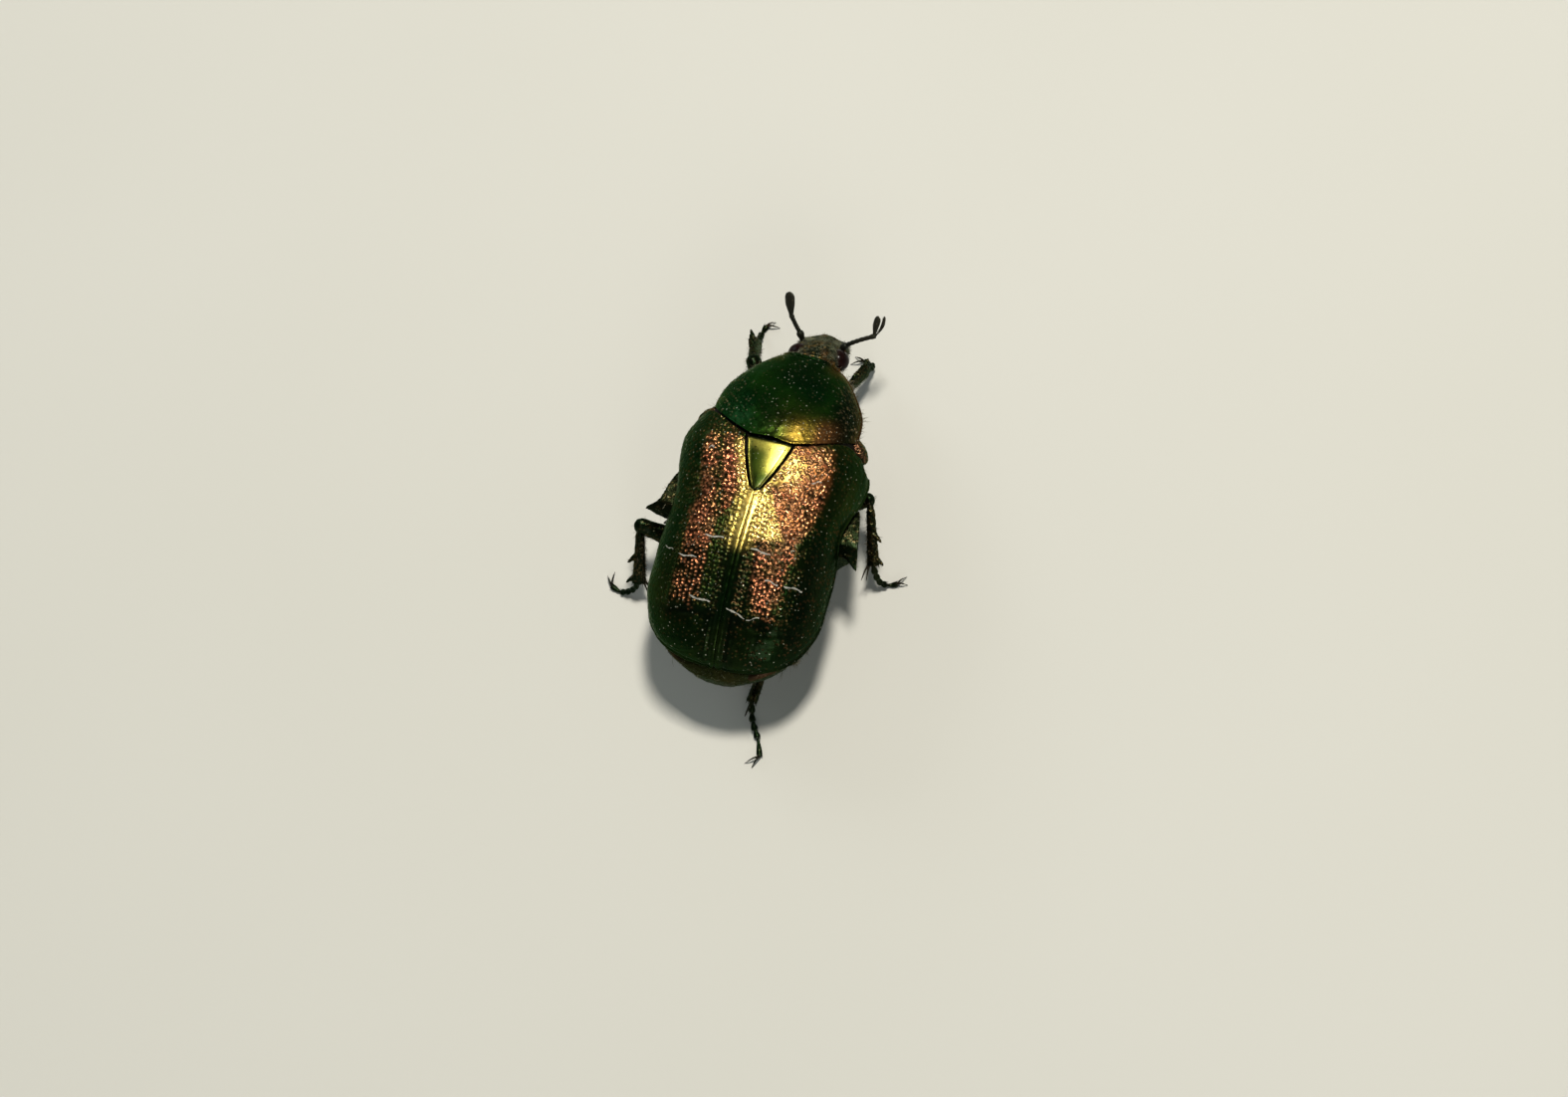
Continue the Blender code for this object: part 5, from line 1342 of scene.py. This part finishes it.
def tibia_parts(form, knee, ankle, outward, bend):
    """The shapes that are melted into a tibia: its rod and its teeth."""
    share = np.linspace(0.0, 1.0, 46)
    path = knee + (ankle - knee) * share[:, None]
    waist = (1 - 0.25 * bump(share, 0.1, 0.05)) * (0.5 + 0.5 * ramp(share, -0.03, 0.05))
    parts = [capped(tube(path, *(tibia_size(form, share).T * waist), bend, 24, 2.4))]
    for place in TIBIA_TEETH[form]:
        half = tibia_size(form, place)[0]
        root = knee + (ankle - knee) * (place - 0.08) + outward * half * 0.3
        tip = knee + (ankle - knee) * (place + 0.05) + outward * (half + TOOTH_HEIGHT[form] * 0.95)
        parts.append(thorn(root, tip, 0.2, unit(ankle - knee) * -0.03, 12, 0.045))
    return parts


def build_spurs(name, form, knee, ankle, outward, bend):
    along = unit(ankle - knee)
    half_breadth, half_thickness = TIBIA_SIZES[form][1]
    spurs = []
    for k in range(SPUR_COUNT[form]):
        root = knee + (ankle - knee) * 0.94 - outward * half_breadth * (0.45 + 0.2 * k)
        tip = ankle + along * SPUR_LENGTH[form] - outward * (half_breadth + 0.15 + 0.3 * k)
        spurs.append(thorn(root, tip, 0.07, outward * -0.03, 12, 0.012))
    for turn in np.arange(ANKLE_BRISTLES) * 2 * math.pi / ANKLE_BRISTLES:
        place = outward * math.cos(turn) * half_breadth * 0.92 + bend * math.sin(turn) * half_thickness * 0.92
        tip = ankle + along * 0.16 + place * 1.1
        spurs.append(thorn(ankle - along * 0.06 + place, tip, 0.022, sides=6, blunt=0.006))
    add_piece(f"{name}_spurs", *joined(spurs), "claw")


def build_tibia(name, form, knee, ankle, bend):
    along = unit(ankle - knee)
    outward = unit(np.cross(along, bend))
    points, faces, normals = melted(tibia_parts(form, knee, ankle, outward, bend), TIBIA_VOXEL)
    from_axis = points - knee
    lean = from_axis @ outward
    height = 0.02 * bump(np.abs(lean), 0.0, 0.06) + 0.008 * ripple(points, 0.4, 110)
    seed = len(name) + int(abs(ankle[1]) * 7)
    points, mask = pitted(points + normals * height[:, None], normals, seed, 330, (0.03, 0.055), 0.4, 0.4)
    add_piece(f"{name}_tibia_skin", points, faces, "leg", (f"{name}_tibia",), attributes={"pit": 0.8 * mask})
    build_spurs(name, form, knee, ankle, outward, bend)
    turn = np.arctan2(from_axis @ bend, lean) / (2 * math.pi) + 0.5
    uv = np.stack((turn, np.clip(from_axis @ along / np.linalg.norm(ankle - knee), 0.0, 1.0)), axis=-1)
    return {"points": points, "normals": normals, "uv": uv, "outward": outward}


def tarsomere_thorns(place, along):
    """A ring of small thorns round the end of a segment of the tarsus, kept above the floor."""
    side = unit(np.cross(along, (0, 0, 1)))
    up = np.cross(side, along)
    thorns = []
    for turn in TARSUS_THORN_TURNS:
        way = side * math.cos(turn) + up * math.sin(turn)
        root = place + way * TARSUS_RADIUS * 0.75
        tip = root + along * 0.16 + way * 0.05
        root[2], tip[2] = max(root[2], 0.06), max(tip[2], 0.03)
        thorns.append(thorn(root, tip, 0.022, sides=6, blunt=0.005))
    return thorns


def claw(before, end, tip):
    arch = end + (tip - end) * 0.45 + np.array((0, 0, 0.2))
    line = smooth_line([before, end + (0, 0, 0.03), arch, tip], CLAW_STEPS)
    size = 0.012 + 0.075 * (1 - shares(CLAW_STEPS)) ** 0.8
    return capped(tube(line, size, size * 0.8, (0, 0, 1), 16))


def build_tarsus(name, ankle, line, claw_tips):
    path = smooth_line([ankle, *line], TARSUS_STEPS)
    share = shares(TARSUS_STEPS)
    radii = np.zeros_like(share)
    thorns = []
    along = unit(np.gradient(path, axis=0))
    for start, end in zip(TARSOMERE_ENDS, TARSOMERE_ENDS[1:]):
        inside = (share >= start) & (share <= end)
        t = (share[inside] - start) / (end - start)
        swell = 0.5 + 0.5 * ramp(t, 0.0, 0.75) - 0.42 * ramp(t, 0.88, 1.0)
        radii[inside] = TARSUS_RADIUS * (swell if end < 1.0 else 0.45 + 0.4 * ramp(t, 0.1, 0.8))
        at = int((start + (end - start) * 0.86) * TARSUS_STEPS)
        thorns += tarsomere_thorns(path[at], along[at])
    points, faces = capped(tube(path, radii * 1.2, radii * 0.95, (0, 0, 1), 28))
    smooth = {"pit": np.zeros(len(points))}
    add_piece(f"{name}_tarsus_skin", points, faces, "leg", (f"{name}_tarsus",), attributes=smooth)
    claws = [claw(path[-6], path[-1], tip) for tip in claw_tips]
    add_piece(f"{name}_claws", *joined(thorns + claws), "claw")


def sharpened(points, side):
    """Draws the blunt rear corner of a hind coxal plate out to its thin point."""
    corner = np.array(COXAL_CORNER) * (side, 1, 1)
    pull = np.array(COXAL_TIPS[side]) * (side, 1, 1) - corner
    near = bump(np.linalg.norm(points - corner, axis=1), 0.0, COXAL_TIP_REACH)[:, None]
    flat = (corner - points) * (0.0, 0.0, 0.55) * near
    return points + flat + pull * near


def build_coxa(name, form, side):
    points, faces, normals = melted([node_shape(f"{name}_coxa")], COXA_VOXEL)
    if form == "hind":
        points = sharpened(points, side)
    points = points + normals * (0.008 * ripple(points, 0.5, 120))[:, None]
    seed = 121 + len(name)
    points, mask = pitted(points, normals, seed, COXA_PITS[form], (0.035, 0.06), 0.35, 0.5)
    add_piece(f"{name}_coxa_plate", points, faces, "leg", (f"{name}_coxa",), attributes={"pit": 0.8 * mask})
    low, high = points.min(axis=0), points.max(axis=0)
    return {"points": points, "normals": normals, "uv": ((points - low) / (high - low))[:, :2]}


def build_legs():
    skins = {}
    for name, leg in LEGS.items():
        form, hand = name.split("_")
        side = 1 if hand == "left" else -1
        (root, knee, ankle), line, claw_tips = (np.array(places) * (side, 1, 1) for places in leg)
        bend = unit(np.cross(knee - root, ankle - knee))
        skins[f"{name}_coxa"] = build_coxa(name, form, side)
        skins[f"{name}_femur"] = build_femur(name, form, root, knee, bend)
        skins[f"{name}_tibia"] = build_tibia(name, form, knee, ankle, bend)
        build_tarsus(name, ankle, line, claw_tips)
    return skins


# Hairs: how many tufts, shortest and longest, radius, the share by which they rise, colour, seed and splay
HAIR_KINDS = {
    "head_hair": (3200, (0.06, 0.125), 0.0055, 0.26, "hair_grey", 1, 0.8),
    "mouth_hair": (500, (0.12, 0.28), 0.0075, 0.5, "hair_brown", 2, 0.35),
    "shield_hair": (300, (0.05, 0.09), 0.005, 0.12, "hair_grey", 3, 0.35),
    "shield_fringe": (110, (0.05, 0.1), 0.005, 0.15, "hair_grey", 4, 0.35),
    "breast_hair": (1300, (0.3, 0.6), 0.009, 0.45, "hair_pale", 5, 0.35),
    "thorax_hair": (2200, (0.35, 0.75), 0.009, 0.4, "hair_pale", 6, 0.35),
    "belly_hair": (1300, (0.2, 0.36), 0.008, 0.25, "hair_pale", 7, 0.35),
    "tail_hair": (600, (0.07, 0.14), 0.0055, 0.25, "hair_grey", 8, 0.35),
    "femur_hair": (330, (0.14, 0.3), 0.006, 0.35, "hair_brown", 20, 0.35),
    "tibia_hair": (240, (0.12, 0.27), 0.006, 0.35, "hair_brown", 30, 0.35),
    "coxa_hair": (220, (0.15, 0.4), 0.008, 0.4, "hair_pale", 40, 0.35),
}
LEG_HAIR_LEAN = (0, 0.3, -1)
HAIRS_A_TUFT = 3
HAIR_TURNS = (0.0, 2.1, 4.2)
TUFT_PATCH = 0.003
HAIR_FACES = np.array([
    (0, 2, 1), (0, 1, 4), (0, 4, 3), (1, 2, 5), (1, 5, 4),
    (2, 0, 3), (2, 3, 5), (3, 4, 6), (4, 5, 6), (5, 3, 6),
])
HAIR_PATCH = np.array([(k % 3 - 1, k // 3 - 1) for k in range(7)]) * TUFT_PATCH / 2


def grow_hairs(kind, skin, weight, lean, leg="", nth=0):
    """Tufts of thin bent hairs over a skin, picked by weight and leaning one way."""
    tufts, length, radius, rise, colour, seed, splay = HAIR_KINDS[kind]
    chance = np.random.default_rng(seed + nth)
    points, normals, uv = (skin[key].reshape(-1, skin[key].shape[-1]) for key in ("points", "normals", "uv"))
    weight = np.broadcast_to(weight, skin["points"].shape[:-1]).ravel()
    picked = np.repeat(chance.choice(len(points), size=tufts, p=weight / weight.sum()), HAIRS_A_TUFT)
    count = len(picked)
    root, normal = points[picked], normals[picked]
    lean = np.array(lean, dtype=float)
    lean = unit(lean - normal * np.sum(lean * normal, axis=1, keepdims=True))
    tangent = chance.normal(size=(count, 3)) * splay
    way = unit(lean * (1 - rise) + normal * rise + tangent)
    long = chance.uniform(*length, count)[:, None]
    thick = radius * chance.uniform(0.75, 1.2, count)[:, None]
    root = root + tangent * 0.05 - normal * 0.015
    middle = root + way * long * 0.55
    tip = middle + unit(way + lean * 0.5) * long * 0.45
    side = unit(np.cross(way, normal + 0.01))
    other = np.cross(way, side)
    spokes = [(side * math.cos(turn) + other * math.sin(turn)) * thick for turn in HAIR_TURNS]
    rings = [place + spoke * size for place, size in ((root, 1.0), (middle, 0.75)) for spoke in spokes]
    faces = (HAIR_FACES[None] + 7 * np.arange(count)[:, None, None]).reshape(-1, 3).tolist()
    patch = np.clip(uv[picked], 0.004, 0.996)[:, None] + HAIR_PATCH[None]
    name = f"{leg}_{kind}" if leg else kind
    add_piece(name, np.stack((*rings, tip), axis=1), faces, colour, slot=None, uv=patch)


def grow_head_hairs(head):
    x, y, z = head["local"].T
    forward = on_head((0, -1, 0.2)) - on_head((0, 0, 0))
    top = ramp(z, -0.2, 0.1) * ramp(-y, -0.6, -0.3) * (1 - 0.7 * ramp(-y, 2.1, 2.5))
    grow_hairs("head_hair", head, top, forward)
    below = ramp(-z, 0.15, 0.4) + 0.4 * ramp(np.abs(x), 0.9, 1.1)
    grow_hairs("mouth_hair", head, below * ramp(-y, 0.5, 1.2), forward)


def grow_body_hairs(skins):
    shield, breast, under = skins["pronotum"], skins["prosternum"], skins["underside"]
    grow_hairs("shield_hair", shield, ramp(-shield["margin"], -1.6, -0.1) + 0.1, (0, 1, 0))
    front = bump(shield["behind"], 0.0, 0.1) * (shield["margin"] > 0.1) + 0.001
    grow_hairs("shield_fringe", shield, front, (0, -1, 0))
    grow_hairs("breast_hair", breast, 0.06 + ramp(-breast["points"][..., 2], -5.6, -4.8), (0, -0.4, -0.6))
    x, y = np.abs(under["points"][..., 0]), under["points"][..., 1]
    grow_hairs("thorax_hair", under, ramp(x, 0.7, 2.2) * ramp(-y, -2.6, -2.0) + 0.02, (0, 0.8, -0.4))
    belly = sum(bump(y, edge - 0.25, 0.12) for edge in STERNITE_EDGES) * (0.15 + ramp(x, 1.2, 3.0))
    grow_hairs("belly_hair", under, belly, (0, 1, -0.1))
    grow_hairs("tail_hair", skins["pygidium"], 1.0, (0, 0.4, -1))


def grow_leg_hairs(skins):
    """Hairs under the femora and coxae, and inside the tibiae."""
    for k, leg in enumerate(LEGS):
        femur, tibia, coxa = (skins[f"{leg}_{part}"] for part in ("femur", "tibia", "coxa"))
        low = np.clip(-femur["normals"][..., 2], 0, 1) ** 2 + 0.08
        inner = np.clip(-(tibia["normals"] @ tibia["outward"]), 0, 1) ** 2 + 0.06
        below = np.clip(-coxa["normals"][:, 2], 0, 1) + 0.15
        grow_hairs("femur_hair", femur, low, LEG_HAIR_LEAN, leg, k)
        grow_hairs("tibia_hair", tibia, inner, LEG_HAIR_LEAN, leg, k)
        grow_hairs("coxa_hair", coxa, below, LEG_HAIR_LEAN, leg, k)


# Camera
def camera_axes():
    """The camera's right, up and backward directions in the beetle's frame."""
    back = Vector((math.sin(CAMERA_ROLL), -math.sin(CAMERA_PITCH), 0.0))
    back.z = math.sqrt(1 - back.x**2 - back.y**2)
    ahead = (Vector((0, 1, 0)) - back * back.y).normalized()
    aside = ahead.cross(back)
    up = ahead * math.cos(CAMERA_SPIN) - aside * math.sin(CAMERA_SPIN)
    right = aside * math.cos(CAMERA_SPIN) + ahead * math.sin(CAMERA_SPIN)
    return [Vector((-v.x, -v.y, v.z)) for v in (right, up, back)]


def make_camera():
    right, up, back = camera_axes()
    centre = AIM_POINT + (right * AIM_OFFSET_PX[0] + up * AIM_OFFSET_PX[1]) / PX_PER_MM
    camera = bpy.data.cameras.new("camera")
    camera.sensor_width = SENSOR_WIDTH
    camera.lens = SENSOR_WIDTH * CAMERA_DISTANCE / (IMAGE_WIDTH_PX / PX_PER_MM)
    camera.clip_start = 0.01
    camera.clip_end = 10.0
    obj = bpy.data.objects.new("camera", camera)
    turn = Matrix((right, up, back)).transposed().to_4x4()
    turn.translation = (centre + back * CAMERA_DISTANCE + Vector(ORIGIN)) * MM
    obj.matrix_world = turn
    bpy.context.scene.collection.objects.link(obj)
    bpy.context.scene.camera = obj


# Stage: sky and floor colours, and for each lamp its way from the beetle, distance, size, watts and colour
HORIZON_COLOUR = (0.36, 0.38, 0.37)
ZENITH_COLOUR = (0.10, 0.125, 0.12)
FLOOR_COLOURS = ((0.52, 0.52, 0.48), (0.57, 0.57, 0.54))
FLOOR_REACH = 6.0
LIGHT_TARGET = (0.0, 0.0, 6.0)
LIGHTS = {
    "key": ((-0.10, -0.27, 0.95), 350.0, (42.0, 52.0), 1.4, (1.0, 0.94, 0.84)),
    "left_fill": ((0.75, -0.45, 0.55), 400.0, (160.0, 160.0), 0.22, (0.92, 0.97, 1.0)),
    "rear_fill": ((-0.35, 0.85, 0.5), 420.0, (180.0, 120.0), 0.25, (1.0, 0.98, 0.94)),
}


def add_lamp(name, way, distance, size, power, colour):
    light = bpy.data.lights.new(name, "AREA")
    light.shape = "RECTANGLE"
    light.size, light.size_y = (s * MM for s in size)
    light.energy = power
    light.color = colour
    obj = bpy.data.objects.new(name, light)
    place = Vector(unit(np.array(way)) * distance + np.array(LIGHT_TARGET)) * MM
    obj.rotation_euler = (Vector(LIGHT_TARGET) * MM - place).to_track_quat("-Z", "Y").to_euler()
    obj.location = place
    bpy.context.scene.collection.objects.link(obj)


def make_floor():
    mesh = bpy.data.meshes.new("floor")
    corners = [(x * FLOOR_REACH, y * FLOOR_REACH, 0) for x, y in ((-1, -1), (1, -1), (1, 1), (-1, 1))]
    mesh.from_pydata(corners, [], [(0, 1, 2, 3)])
    floor = bpy.data.objects.new("floor", mesh)
    bpy.context.scene.collection.objects.link(floor)
    material, tree, shader, place = new_material("floor_paper")
    tree.links.new(mix(tree, noise(tree, place, 0.02, 2.0), *FLOOR_COLOURS), shader.inputs["Base Color"])
    shader.inputs["Roughness"].default_value = 0.9
    mesh.materials.append(material)


def make_sky():
    """A dim sky that is paler near the horizon."""
    world = bpy.data.worlds.new("studio")
    world.use_nodes = True
    tree = world.node_tree
    way = add_node(tree, "ShaderNodeTexCoord").outputs["Generated"]
    height = add_node(tree, "ShaderNodeSeparateXYZ", {0: way}).outputs["Z"]
    sky = mix(tree, spread(tree, height, 0.02, 0.65), HORIZON_COLOUR, ZENITH_COLOUR)
    tree.links.new(sky, tree.nodes["Background"].inputs["Color"])
    bpy.context.scene.world = world


make_materials()
make_camera()
make_floor()
make_sky()
for lamp, settings in LIGHTS.items():
    add_lamp(lamp, *settings)
bpy.context.scene.view_settings.view_transform = "Standard"
build_elytron(1, "elytron_left")
build_elytron(-1, "elytron_right")
build_scutellum()
build_collar()
build_shoulder_plates()
build_antennae()
SKINS = {
    "pronotum": build_pronotum(),
    "prosternum": build_prosternum(),
    "underside": build_underside(),
    "pygidium": build_pygidium(),
    "head": build_head(),
    **build_legs(),
}
grow_head_hairs(SKINS["head"])
grow_body_hairs(SKINS)
grow_leg_hairs(SKINS)
